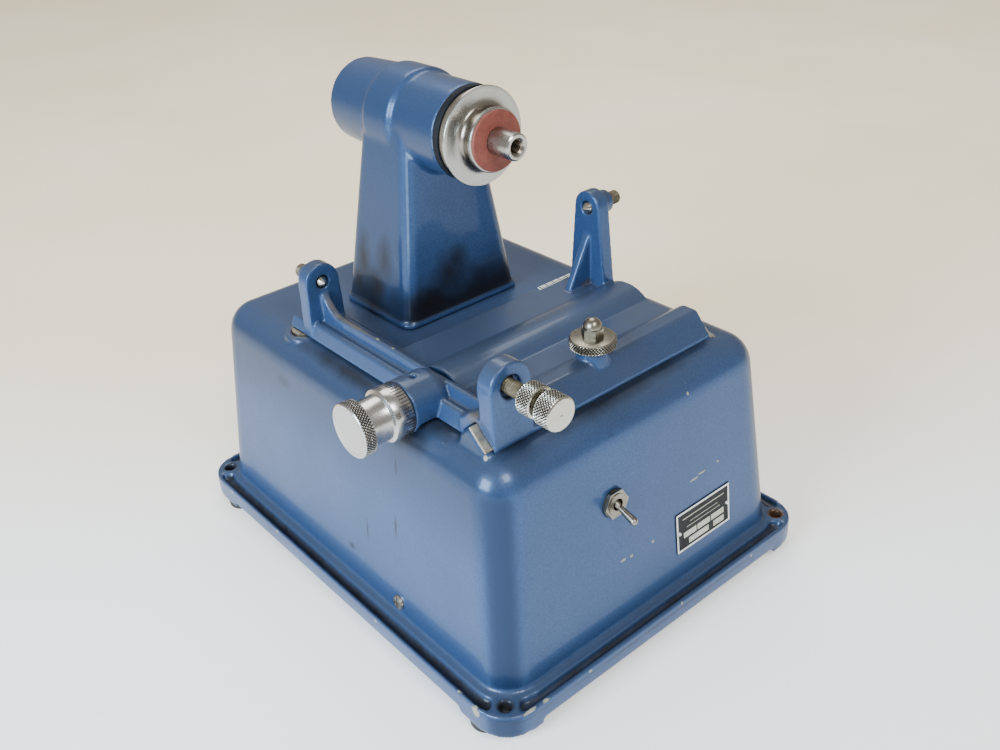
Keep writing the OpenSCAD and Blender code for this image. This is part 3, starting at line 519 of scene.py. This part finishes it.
CHIPS = [
    ((0.0365, -0.1353, 0.0740), (0.0045, 0.004, 0.0008)),
    ((0.0425, -0.1353, 0.0752), (0.0035, 0.004, 0.0008)),
    ((0.0562, -0.1351, 0.0759), (0.0012, 0.004, 0.0010)),
    ((0.0022, -0.1373, 0.0519), (0.0012, 0.004, 0.0012)),
    ((-0.0203, -0.1372, 0.0528), (0.0026, 0.004, 0.0010)),
    ((-0.0140, -0.1373, 0.0520), (0.0014, 0.004, 0.0010)),
    ((0.0361, -0.1299, 0.1321), (0.0010, 0.004, 0.0022)),
    ((0.0350, -0.1304, 0.1267), (0.0010, 0.004, 0.0014)),
    ((-0.1010, -0.1345, 0.0600), (0.0016, 0.0022, 0.0018)),
    ((-0.0955, -0.1340, 0.1030), (0.0014, 0.0024, 0.0026)),
    ((-0.1185, -0.1315, 0.0115), (0.0024, 0.0036, 0.0042)),
    ((-0.1175, -0.1180, 0.0140), (0.0015, 0.0022, 0.0014)),
    ((-0.1010, -0.1515, 0.0140), (0.0050, 0.0014, 0.0012)),
    ((-0.0905, -0.1518, 0.0140), (0.0028, 0.0012, 0.0012)),
    ((-0.0600, -0.1520, 0.0125), (0.0016, 0.0012, 0.0016)),
    ((0.0100, -0.1520, 0.0130), (0.0013, 0.0012, 0.0014)),
    ((0.0700, -0.1522, 0.0110), (0.0012, 0.0012, 0.0012)),
    ((-0.1185, -0.0450, 0.0120), (0.0012, 0.0016, 0.0016)),
    ((-0.1185, 0.0600, 0.0130), (0.0012, 0.0018, 0.0012)),
    ((-0.1185, 0.1180, 0.0120), (0.0012, 0.0014, 0.0014)),
]
WAY_PRIMER = [
    ((0.0740, -0.1010, 0.1465), (0.0060, 0.0080, 0.0070)),
    ((0.0740, -0.1090, 0.1415), (0.0045, 0.0070, 0.0050)),
    ((-0.0865, -0.1125, 0.1385), (0.0016, 0.0016, 0.0016)),
]
HOUSE = enamel("enamel_housing", chips=CHIPS, primer=WAY_PRIMER, streaks=True, base_flange=True,
               left_shade=(0.070, 0.125, 0.70), dark=[
    # painted shadow under the slide's front edge, under the left beam and under the drum
    ((-0.0060, -0.1160, 0.1380), (0.0860, 0.0085, 0.0040)),
    ((-0.0860, 0.0020, 0.1370), (0.0080, 0.0720, 0.0060)),
    ((-0.0865, -0.0350, 0.1370), (0.0085, 0.0500, 0.0070)),
    ((-0.0830, -0.0800, 0.1370), (0.0100, 0.0200, 0.0050)),
    ((-0.0945, -0.0600, 0.1300), (0.0080, 0.0190, 0.0080)),
    # streaks and stains on the left wall
    ((-0.0983, -0.0533, 0.1094), (0.0040, 0.0016, 0.0070)),
    ((-0.1034, -0.0241, 0.0543), (0.0040, 0.0014, 0.0100)),
    ((-0.1018, -0.0512, 0.0713), (0.0040, 0.0013, 0.0100)),
    ((-0.1052, -0.0068, 0.0344), (0.0040, 0.0040, 0.0030)),
    # painted shade under the slide, and a dark mark high on the left wall
    ((-0.0700, -0.0800, 0.1385), (0.0180, 0.0150, 0.0050)),
    ((-0.0960, 0.0560, 0.1130), (0.0040, 0.0100, 0.0050)),
    # painted shade and grime along the foot of the walls
    ((0.0, -0.1500, 0.0105), (0.1400, 0.0060, 0.0016)),
    ((-0.1155, 0.0, 0.0105), (0.0050, 0.1700, 0.0016)),
    ((0.0, 0.1500, 0.0105), (0.1400, 0.0060, 0.0016)),
    ((0.1155, 0.0, 0.0105), (0.0050, 0.1700, 0.0016)),
], brown=[((-0.0785, 0.0580, 0.1390), (0.0120, 0.0120, 0.0030))])
COLUMN = enamel("enamel_column", foot=(0.139, 0.169), dust_and_sheen=0.2, left_shade=(0.10, 0.13, 0.50), dark=[
    ((-0.0335, 0.0575, 0.1700), (0.0080, 0.0085, 0.0190)),
    ((-0.0335, 0.0370, 0.1740), (0.0080, 0.0100, 0.0190)),
    ((-0.0350, 0.0430, 0.1570), (0.0090, 0.0110, 0.0130)),
    ((-0.0350, 0.0620, 0.1530), (0.0090, 0.0080, 0.0100)),
    ((-0.0050, 0.0140, 0.1630), (0.0140, 0.0080, 0.0170)),
    ((0.0005, 0.0145, 0.1690), (0.0110, 0.0070, 0.0110)),
    ((-0.0190, 0.0140, 0.1520), (0.0140, 0.0080, 0.0100)),
])
SLIDE = enamel("enamel_slide", chips=[
    ((-0.0702, -0.0060, 0.1540), (0.0008, 0.0022, 0.0010)),
    ((-0.0702, -0.0200, 0.1540), (0.0008, 0.0014, 0.0010)),
    ((-0.0820, -0.1130, 0.1410), (0.0012, 0.0012, 0.0020)),
    ((-0.0550, 0.0500, 0.1430), (0.0010, 0.0014, 0.0010)),
], brown=[
    ((-0.0705, 0.0200, 0.1540), (0.0026, 0.0300, 0.0016)),
    ((-0.0810, -0.1000, 0.1520), (0.0050, 0.0060, 0.0050)),
    ((-0.0700, 0.0360, 0.1600), (0.0030, 0.0080, 0.0080)),
    ((0.0590, -0.0300, 0.1500), (0.0080, 0.0040, 0.0030)),
], dark=[
    # painted shade round the pivot stud's pocket in the front lug, and darker in the pocket at the right
    # lug's foot
    ((-0.0705, -0.1155, 0.1710), (0.0075, 0.0030, 0.0075)),
    ((0.0600, -0.0300, 0.1490), (0.0090, 0.0100, 0.0040)),
], primer=[((0.0600, -0.0260, 0.1480), (0.0020, 0.0020, 0.0010))], edge_wear=0.5, dust_and_sheen=0.75)

SPINDLE = (HEAD_X, 0.0, HEAD_Z)
FEED = (0.0, FEED_Y, FEED_Z)
PIVOT = (PIVOT_X, 0.0, PIVOT_Z)
STOP = (STOP_X, STOP_Y, 0.0)
# Knurled bands: rim radius, groove depth and the two ends along the axis
RING_KNURL = (0.0082, 0.00050, -0.1341, -0.1270)
GRIP_KNURL = (0.0086, 0.00050, -0.1471, -0.1389)
KNOB_KNURL = (0.0143, 0.00055, -0.1236, -0.1180)
STOP_KNURL = (0.0120, 0.00055, 0.1604, 0.1641)

STAINLESS = turned("turned_stainless", (0.50, 0.497, 0.462), (0.34, 0.335, 0.308), "y", SPINDLE, 0.25,
    2400.0, (0.26, 0.22, 0.17), 0.15, hub=(0.0150, 0.0205), hollow_dirt_and_shade=0.0)
NICKEL_Y = turned("nickel_spindle", (0.52, 0.51, 0.47), (0.36, 0.35, 0.32), "y", SPINDLE, 0.27, 3000.0,
    hub=(0.0034, 0.0052))
NICKEL_PIVOT = turned("nickel_pivot", (0.62, 0.60, 0.54), (0.42, 0.40, 0.34), "y", PIVOT, 0.22, 3600.0,
    (0.22, 0.17, 0.10), 0.4, [RING_KNURL, GRIP_KNURL])
SPUN = turned("spun_aluminium", (0.62, 0.61, 0.585), (0.44, 0.43, 0.405), "x", FEED, 0.24, 2100.0,
    (0.34, 0.31, 0.25), 0.10, [KNOB_KNURL])
NICKEL_STOP = turned("worn_nickel_stop", (0.33, 0.305, 0.25), (0.20, 0.18, 0.14), "z", STOP, 0.30, 2600.0,
    (0.10, 0.075, 0.045), 0.6, [STOP_KNURL])
STEEL = surface("plain_steel", (0.30, 0.28, 0.24), (0.52, 0.50, 0.45), (0.25, 0.45), 1.0, 500.0)
NICKEL = surface("nickel_parts", (0.36, 0.33, 0.27), (0.56, 0.53, 0.45), (0.16, 0.34), 1.0, 700.0, 0.10,
    0.0001)
WORN_NICKEL = surface("worn_switch_nickel", (0.17, 0.155, 0.125), (0.33, 0.305, 0.25), (0.24, 0.40), 1.0,
    600.0, 0.15, 0.0001)
BROWNED = surface("browned_screw", (0.075, 0.062, 0.038), (0.20, 0.17, 0.115), (0.40, 0.60), 0.8, 900.0,
    0.3, 0.0002)
BRASS = surface("dull_brass", (0.33, 0.29, 0.20), (0.50, 0.45, 0.33), (0.30, 0.50), 1.0, 600.0)
RUBBER = surface("black_rubber", (0.012, 0.012, 0.012), (0.030, 0.029, 0.027), (0.55, 0.80), 0.0, 300.0,
    0.3, 0.0003)
SEAL = surface("black_seal", (0.004, 0.005, 0.008), (0.010, 0.011, 0.015), (0.50, 0.70), 0.0, 300.0,
    spec=0.15)
BROWN_RING = surface("brown_ring", (0.11, 0.085, 0.06), (0.22, 0.18, 0.14), (0.35, 0.55), 0.6, 500.0)
FIBRE = surface("red_fibre", (0.15, 0.032, 0.020), (0.23, 0.055, 0.036), (0.50, 0.70), 0.0, 900.0, 0.35,
    0.0002)
LABEL = surface("label_black", (0.005, 0.005, 0.006), (0.014, 0.014, 0.014), (0.40, 0.60), 0.0, 700.0,
    spec=0.22)
LABEL_METAL = surface("label_metal", (0.62, 0.62, 0.60), (0.80, 0.80, 0.77), (0.25, 0.40), 1.0, 900.0)
LABEL_BOX = surface("label_box", (0.42, 0.41, 0.34), (0.62, 0.60, 0.52), (0.35, 0.55), 0.3, 1200.0)
INK = surface("black_ink", (0.006, 0.006, 0.006), (0.016, 0.015, 0.014), (0.40, 0.60), 0.0, 900.0)
SCALE = surface("white_scale", (0.52, 0.50, 0.43), (0.80, 0.78, 0.70), (0.40, 0.60), 0.0, 700.0)
PLASTIC = surface("black_phenolic", (0.014, 0.012, 0.010), (0.035, 0.030, 0.026), (0.30, 0.50), 0.0,
    400.0)
MOTOR = surface("motor_grey", (0.050, 0.053, 0.057), (0.090, 0.095, 0.100), (0.35, 0.55), 0.1, 300.0, 0.2,
    0.0003)
CASTALLOY = surface("cast_alloy", (0.38, 0.38, 0.38), (0.58, 0.58, 0.57), (0.40, 0.60), 1.0, 260.0, 0.4,
    0.0004)
IRON = surface("laminations", (0.10, 0.10, 0.10), (0.22, 0.22, 0.22), (0.45, 0.65), 0.8, 500.0)


# ------------------------------------------------------------ castings

cast_skin("housing_skin", "housing_casting", 0.0012, 9, HOUSE, "machine")
cast_skin("column_skin", "column_casting", 0.0010, 10, COLUMN, "machine")
cast_skin("slide_skin", "slide_casting", 0.0006, 12, SLIDE, "carriage")


# ------------------------------------------------------------ spindle

v, f = lathe("y", SPINDLE, closed(mm([
    (7.2, -22.40), (15.4, -22.40), (15.6, -22.2), (15.6, -18.6), (15.75, -17.6), (16.3, -16.5),
    (17.2, -15.75), (18.6, -15.3), (20.5, -15.12), (23.5, -15.08), (25.5, -15.18), (25.85, -15.1),
    (26.0, -14.85), (26.0, -14.05), (25.8, -13.82), (10.2, -13.8), (10.2, -17.0), (7.2, -17.0)])), 192)
place("wheel_flange", v, f, "spindle", STAINLESS, ("large_flange",))

v, f = lathe("y", SPINDLE, closed(mm([
    (7.2, -24.80), (16.2, -24.80), (16.7, -24.6), (16.9, -24.3), (16.9, -22.8), (16.6, -22.44),
    (7.2, -22.44)])), 160)
place("outer_flange", v, f, "spindle", NICKEL_Y, ("small_flange",))

v, f = lathe("y", SPINDLE, closed(mm([
    (7.2, -26.38), (15.4, -26.38), (15.8, -26.2), (15.9, -25.9), (15.9, -24.84), (7.2, -24.84)])), 144)
place("washer", v, f, "spindle", FIBRE, ("fibre_washer",))

bore = [(3.18, a) for a in steps(-24.0, -40.2, 0.16)]
v, f = lathe("y", SPINDLE, mm([(0, -24.0)] + bore + [
    (4.85, -41.65), (5.0, -41.7), (6.3, -41.7), (7.14, -40.9), (7.14, -26.62), (6.88, -26.6),
    (6.88, -17.02), (9.97, -17.0), (9.97, -12.92), (8.5, -12.9), (8.5, 86.3), (8.2, 86.5), (0, 86.5)]),
    96, thread(0.00318, 0.00127, -0.0004))
place("spindle_nose", v, f, "spindle", NICKEL_Y, ("spindle_shaft",))

v, f = lathe("y", SPINDLE, closed(mm([
    (10.7, -13.28), (23.1, -13.28), (23.6, -13.1), (23.8, -12.7), (23.8, -8.64), (13.9, -8.64),
    (13.9, -2.06), (10.7, -2.06)])), 160)
place("cap_ring", v, f, "machine", BROWN_RING, ("bearing_cap",))

v, f = lathe("y", SPINDLE, closed(mm([
    (14.0, -8.6), (24.3, -8.6), (24.8, -8.4), (25.0, -8.0), (25.0, -4.44), (14.0, -4.44)])), 160)
place("seal_ring", v, f, "machine", SEAL, ("felt_seal",))


# ------------------------------------------------------------ micrometer

shape, sides = diamond(0.00160, *KNOB_KNURL)
v, f = lathe("x", FEED, mm([
    (0, -122.9), (4.0, -123.0), (8.0, -123.3), (10.6, -123.72), (12.2, -124.1), (12.7, -124.36),
    (13.1, -124.4), (13.8, -124.15), (14.1, -123.85)]
    + [(14.3, a) for a in steps(-123.6, -118.0, 0.175)]
    + [(14.05, -117.7), (13.6, -117.38), (3.2, -117.36), (3.2, -121.9), (0, -121.9)]), sides, shape)
place("dial_knob", v, f, "feed", SPUN, ("micrometer_knob",))

v, f = lathe("x", FEED, closed(mm([
    (3.2, -117.32), (11.5, -117.32), (11.8, -117.0), (11.8, -107.0), (11.95, -106.6), (12.6, -106.2),
    (13.3, -105.9), (13.8, -105.6), (14.0, -105.2), (14.0, -95.5), (13.8, -95.14),
    (3.2, -95.12)])), 192)
place("dial_drum", v, f, "feed", SPUN, ("graduated_drum",))

DRUM_R = 0.01404
DIAL_LINES = 50
LINE_HALF = 0.00024
DIAL_X = -0.0956
NUMBER_X = -0.1048
NUMBER_LIFT = 0.00003
NUMBER_SIZE = 0.0030
NUMBER_COUNT = 5
NUMBER_START = math.radians(158)
ticks = []
for i in range(DIAL_LINES):
    angle = TAU * i / DIAL_LINES
    length = 0.0048 if i % 5 else 0.0062
    half = LINE_HALF / DRUM_R
    quad = [on_axis("x", FEED, r, a, x) for r in (DRUM_R - 0.0001, DRUM_R + 0.00001)
            for a in (angle - half, angle + half) for x in (DIAL_X, DIAL_X - length)]
    ticks.append((quad, [(0, 1, 3, 2), (4, 6, 7, 5), (0, 4, 5, 1), (2, 3, 7, 6), (0, 2, 6, 4),
        (1, 5, 7, 3)]))
v, f = gather(ticks)
place("dial_lines", v, f, "feed", INK)
v, f = lathe("x", FEED, closed(mm([
    (13.6, -95.45), (14.06, -95.45), (14.06, -95.16), (13.6, -95.16)])), 160)
place("dial_edge", v, f, "feed", INK)


def number_mesh(text, size):
    """Flat outline of a number, centred across, as vertices and faces."""
    curve = bpy.data.curves.new("number", "FONT")
    curve.body = text
    curve.size = size
    curve.align_x = "CENTER"
    curve.resolution_u = 3
    temp = bpy.data.objects.new("number", curve)
    SCENE.collection.objects.link(temp)
    mesh = bpy.data.meshes.new_from_object(temp.evaluated_get(bpy.context.evaluated_depsgraph_get()))
    verts = [tuple(p.co) for p in mesh.vertices]
    faces = [tuple(p.vertices) for p in mesh.polygons]
    bpy.data.objects.remove(temp)
    bpy.data.curves.remove(curve)
    bpy.data.meshes.remove(mesh)
    return verts, faces


numbers = []
for i in range(NUMBER_COUNT):
    flat = number_mesh(str((i * 10 + 20) % DIAL_LINES), NUMBER_SIZE)
    angle = NUMBER_START - TAU * i / NUMBER_COUNT
    numbers.append(moved(flat, lambda p: on_axis(
        "x", FEED, DRUM_R + NUMBER_LIFT, angle + p.x / DRUM_R, NUMBER_X + p.y)))
v, f = gather(numbers)
mesh = bpy.data.meshes.new("dial_numbers")
mesh.from_pydata(v, [], f)
finish_piece("dial_numbers", mesh, "feed", INK, (), None)


# ------------------------------------------------------------ pivot screw

shape = thread(0.00397, 0.00141, 0.00060)
v, f = lathe("y", PIVOT, mm(
    [(0, -146.0), (3.4, -146.0)]
    + [(3.97, a) for a in steps(-145.8, -104.0, 0.176)]
    + [(0.4, -100.0), (0, -99.95)]), 64, shape)
place("pivot_thread", v, f, "pivot_screw", BROWNED, ("pivot_stud",))

shape, sides = diamond(0.00160, *RING_KNURL)
v, f = lathe("y", PIVOT, closed(mm(
    [(4.05, -134.7), (4.4, -134.9), (6.9, -134.9), (7.4, -134.75), (8.0, -134.25)]
    + [(8.2, a) for a in steps(-134.1, -127.0, 0.16)]
    + [(8.0, -126.85), (7.4, -126.35), (6.9, -126.2), (4.4, -126.2), (4.05, -126.4)])), sides, shape)
place("lock_ring", v, f, "lock_nut", NICKEL_PIVOT, ("pivot_lock_nut",))

shape, sides = diamond(0.00160, *GRIP_KNURL)
v, f = lathe("y", PIVOT, mm(
    [(0, -147.5), (0.5, -147.75), (0.8, -147.95), (7.2, -148.0), (7.8, -147.85), (8.4, -147.3)]
    + [(8.6, a) for a in steps(-147.1, -138.9, 0.16)]
    + [(8.4, -138.7), (7.8, -138.15), (7.2, -138.0), (4.1, -138.0), (4.1, -146.1), (0, -146.1)]),
    sides, shape)
place("pivot_grip", v, f, "pivot_handle", NICKEL_PIVOT, ("pivot_knob",))


# ------------------------------------------------------------ height stop

shape, sides = diamond(0.00165, *STOP_KNURL)
v, f = lathe("z", STOP, closed(mm(
    [(3.3, 165.0), (9.2, 165.0), (9.6, 164.85), (10.8, 164.9), (11.5, 164.7), (11.9, 164.35)]
    + [(12.0, a) for a in steps(164.1, 160.4, 0.17)]
    + [(11.8, 160.1), (11.2, 159.55), (3.3, 159.5)])), sides, shape)
place("stop_disc", v, f, "stop_handle", NICKEL_STOP, ("stop_wheel",))
v, f = lathe("z", STOP, mm(
    [(0, 152.4), (2.9, 152.4)] + [(3.17, a) for a in steps(152.6, 170.3, 0.16)] + [(0, 170.4)]),
    48, thread(0.00317, 0.00127, 0.0004))
place("stop_thread", v, f, "stop_screw", STEEL, ("stop_stud",))


# ------------------------------------------------------------ centre screws

RIGHT_CENTRE = (0.0, -0.0299, 0.194)
BRIGHT_TIP = 0.0065


def centre_screw(name, axis, origin, tip, end, node):
    """Coned point, ground neck and thread. The point is bright and the rest is browned."""
    sign = 1 if end > tip else -1
    rows = [(0, tip), (0.35, tip + 0.02 * sign), (3.9, tip + 4.1 * sign), (3.97, tip + 4.3 * sign)]
    rows += [(3.96, a) for a in steps(tip + 6.0 * sign, end - 0.7 * sign, 0.16)]
    rows += [(3.4, end - 0.1 * sign), (3.2, end), (0, end)]
    verts, faces = lathe(axis, origin, mm(rows), 64, thread(0.00396, 0.00141, 0.00045))
    piece = place(name, verts, faces, "carriage", BROWNED, (node,))
    piece.data.materials.append(NICKEL)
    which = "xyz".index(axis)
    for p in piece.data.polygons:
        if abs(p.center[which] - tip * 0.001) < BRIGHT_TIP:
            p.material_index = 1
    return piece


centre_screw("rear_point", "y", PIVOT, 40.6, 66.4, "rear_centre_screw")
centre_screw("right_point", "x", RIGHT_CENTRE, 58.8, 85.2, "right_centre_screw")


# ------------------------------------------------------------ scale and label

SCALE_MARKS = 15
SCALE_X0 = 0.0369
SCALE_STEP = 0.0017
SCALE_FRONT = -0.0177
SCALE_Z = (0.14850, 0.14856)
marks = []
for i in range(SCALE_MARKS):
    x = SCALE_X0 + i * SCALE_STEP
    deep = 0.0028 if i % 3 == 0 else 0.0020
    half = 0.00045 if i % 3 == 0 else 0.00028
    marks.append(block((x - half, SCALE_FRONT, SCALE_Z[0]), (x + half, SCALE_FRONT + deep, SCALE_Z[1])))
v, f = gather(marks)
place("scale_lines", v, f, "carriage", INK)

LABEL_X = 0.0423
LABEL_Z = 0.0459
LABEL_FACE = 0.00055
tilt = (Matrix.Translation((LABEL_X, -(WALL_Y + (BODY_TOP - LABEL_Z) * DRAFT), LABEL_Z))
        @ Matrix.Rotation(-math.atan(DRAFT), 4, "X"))


def on_label(boxes, front):
    """Thin boxes (x0, z0, x1, z1) standing on the tilted label, up to a given height."""
    parts = [block((x0, -front, z0), (x1, -LABEL_FACE, z1)) for x0, z0, x1, z1 in boxes]
    verts, faces = gather([tuple(p) for p in parts])
    return [tuple(tilt @ Vector(p)) for p in verts], faces


v, f = on_label([
    (-0.0220, 0.0113, 0.0220, 0.0125), (-0.0220, -0.0125, 0.0220, -0.0113),
    (-0.0220, -0.0113, -0.0208, 0.0113), (0.0208, -0.0113, 0.0220, 0.0113)], 0.00070)
place("label_border", v, f, "machine", LABEL_METAL)
v, f = on_label([
    (-0.0165, -0.0048, -0.0062, -0.0012), (-0.0052, -0.0048, 0.0052, -0.0012),
    (0.0062, -0.0048, 0.0170, -0.0012), (-0.0125, -0.0098, 0.0040, -0.0062),
    (0.0080, -0.0098, 0.0170, -0.0062)], 0.00066)
place("label_boxes", v, f, "machine", LABEL_BOX)
v, f = on_label([
    (-0.0170, 0.0074, 0.0175, 0.0079), (-0.0110, 0.0040, 0.0120, 0.0043),
    (-0.0140, 0.0014, 0.0140, 0.0017)], 0.00065)
place("label_rules", v, f, "machine", LABEL_BOX)


# ------------------------------------------------------------ carried CAD nodes

SWITCH_BUSHING_Y = -0.1315


def dress(node, material, bevel=0.0):
    """Gives a CAD node a material, smooth shading and, if asked, a small bevel."""
    obj = NODES[node]
    obj.data.materials.clear()
    obj.data.materials.append(material)
    obj.data.polygons.foreach_set("use_smooth", [True] * len(obj.data.polygons))
    obj.data.set_sharp_from_angle(angle=math.radians(CAD_SHARP_ANGLE))
    if bevel:
        m = obj.modifiers.new("edge", "BEVEL")
        m.width = bevel
        m.segments = 2
        m.limit_method = "ANGLE"
        m.angle_limit = math.radians(40)
    return obj


for node, material in {
    "base_cover": MOTOR, "base_cover_screws": STEEL, "rubber_feet": RUBBER, "foot_screws": STEEL,
    "nameplate": LABEL, "nameplate_rivets": LABEL_METAL, "switch_nut": WORN_NICKEL,
    "toggle_lever": WORN_NICKEL, "wall_plug": STEEL, "cord_grommet": RUBBER, "rest_button": BRASS,
    "column_bolts": STEEL, "front_bearing": STEEL, "rear_bearing": STEEL, "barrel_end_cap": CASTALLOY,
    "spindle_pulley": STEEL, "spindle_locknut": STEEL, "drive_belt": RUBBER, "motor_shell": MOTOR,
    "motor_front_bell": CASTALLOY, "motor_rear_bell": CASTALLOY, "motor_rotor": IRON,
    "motor_shaft": STEEL, "motor_pulley": STEEL, "motor_saddle": MOTOR, "motor_straps": STEEL,
    "motor_bolts": STEEL, "motor_capacitor": CASTALLOY, "capacitor_clip": STEEL, "feed_nut": BRASS,
    "feed_nut_screws": STEEL, "gib_strip": BRASS, "scale_strip": SCALE, "feed_bush": BRASS,
    "feed_screw": STEEL, "stop_cap_nut": NICKEL_STOP, "switch_body": PLASTIC,
}.items():
    dress(node, material)
for node, width in {"switch_nut": 0.0003, "nameplate": 0.0001}.items():
    dress(node, NODES[node].data.materials[0], width)
body = NODES["switch_body"]
body.data.materials.append(WORN_NICKEL)
for p in body.data.polygons:
    if p.center.y < SWITCH_BUSHING_Y:
        p.material_index = 1


# ------------------------------------------------------------ stage, light and camera

paper = Graph("paper")
cream = paper.mix(paper.fit(paper.noise(3.0, 3.0), 0.35, 0.65), (0.84, 0.72, 0.50), (0.88, 0.78, 0.58))
away = paper.vmath("DOT_PRODUCT", paper.coord, (0.626, 0.780, 0.0))
tone = paper.mix(paper.fit(away, -0.12, 0.30, 0.0, 1.0, True), (0.93, 0.925, 0.91), cream)
paper.set(color=tone, rough=0.9, normal=paper.bump(paper.noise(900.0, 2.0), 0.08, 0.0004))
paper.put(paper.bsdf.inputs["Emission Color"], tone)
paper.put(paper.bsdf.inputs["Emission Strength"], 0.58)
floor_mesh = bpy.data.meshes.new("floor")
floor_mesh.from_pydata(
    [(x * FLOOR_HALF, y * FLOOR_HALF, FLOOR_Z) for x, y in ((-1, -1), (1, -1), (1, 1), (-1, 1))],
    [], [(0, 1, 2, 3)])
floor_mesh.materials.append(paper.mat)
floor = bpy.data.objects.new("floor", floor_mesh)
SCENE.collection.objects.link(floor)

world = bpy.data.worlds.new("studio")
SCENE.world = world
world.use_nodes = True
sky = world.node_tree.nodes["Background"]
sky.inputs[0].default_value = (1.0, 0.96, 0.89, 1)
sky.inputs[1].default_value = 0.45


def softbox(name, place_at, aim, size, power, tint):
    light = bpy.data.lights.new(name, "AREA")
    light.shape = "SQUARE"
    light.size = size
    light.energy = power
    light.color = tint
    obj = bpy.data.objects.new(name, light)
    SCENE.collection.objects.link(obj)
    obj.location = place_at
    obj.rotation_mode = "QUATERNION"
    obj.rotation_quaternion = (Vector(aim) - Vector(place_at)).to_track_quat("-Z", "Y")
    return obj


softbox("key", (-1.50, -0.10, 0.80), (0, 0, 0.08), 0.80, 54.0, (0.68, 0.85, 1.0))
softbox("front_fill", (-0.20, -1.30, 1.55), (0, 0, 0.10), 0.70, 22.0, (0.97, 0.98, 1.0))
softbox("top", (0.55, 0.75, 1.60), (0, 0, 0.1), 1.00, 14.0, (1.0, 0.99, 0.97))

AZ = math.radians(38.754)
EL = math.radians(30.854)
ROLL = math.radians(-3.7055)
right = Vector((math.cos(AZ), -math.sin(AZ), 0))
ahead = Vector((math.sin(AZ) * math.cos(EL), math.cos(AZ) * math.cos(EL), -math.sin(EL)))
above = right.cross(ahead)
turned_right = math.cos(ROLL) * right + math.sin(ROLL) * above
turned_up = -math.sin(ROLL) * right + math.cos(ROLL) * above
lens = bpy.data.cameras.new("camera")
lens.lens = LENS_MM
lens.sensor_width = SENSOR_MM
lens.clip_start = 0.01
lens.clip_end = 50
camera = bpy.data.objects.new("camera", lens)
SCENE.collection.objects.link(camera)
columns = (turned_right, turned_up, -ahead)
camera.matrix_world = Matrix(
    [[c[i] for c in columns] + [CAMERA_AT[i]] for i in range(3)] + [[0, 0, 0, 1]])
SCENE.camera = camera
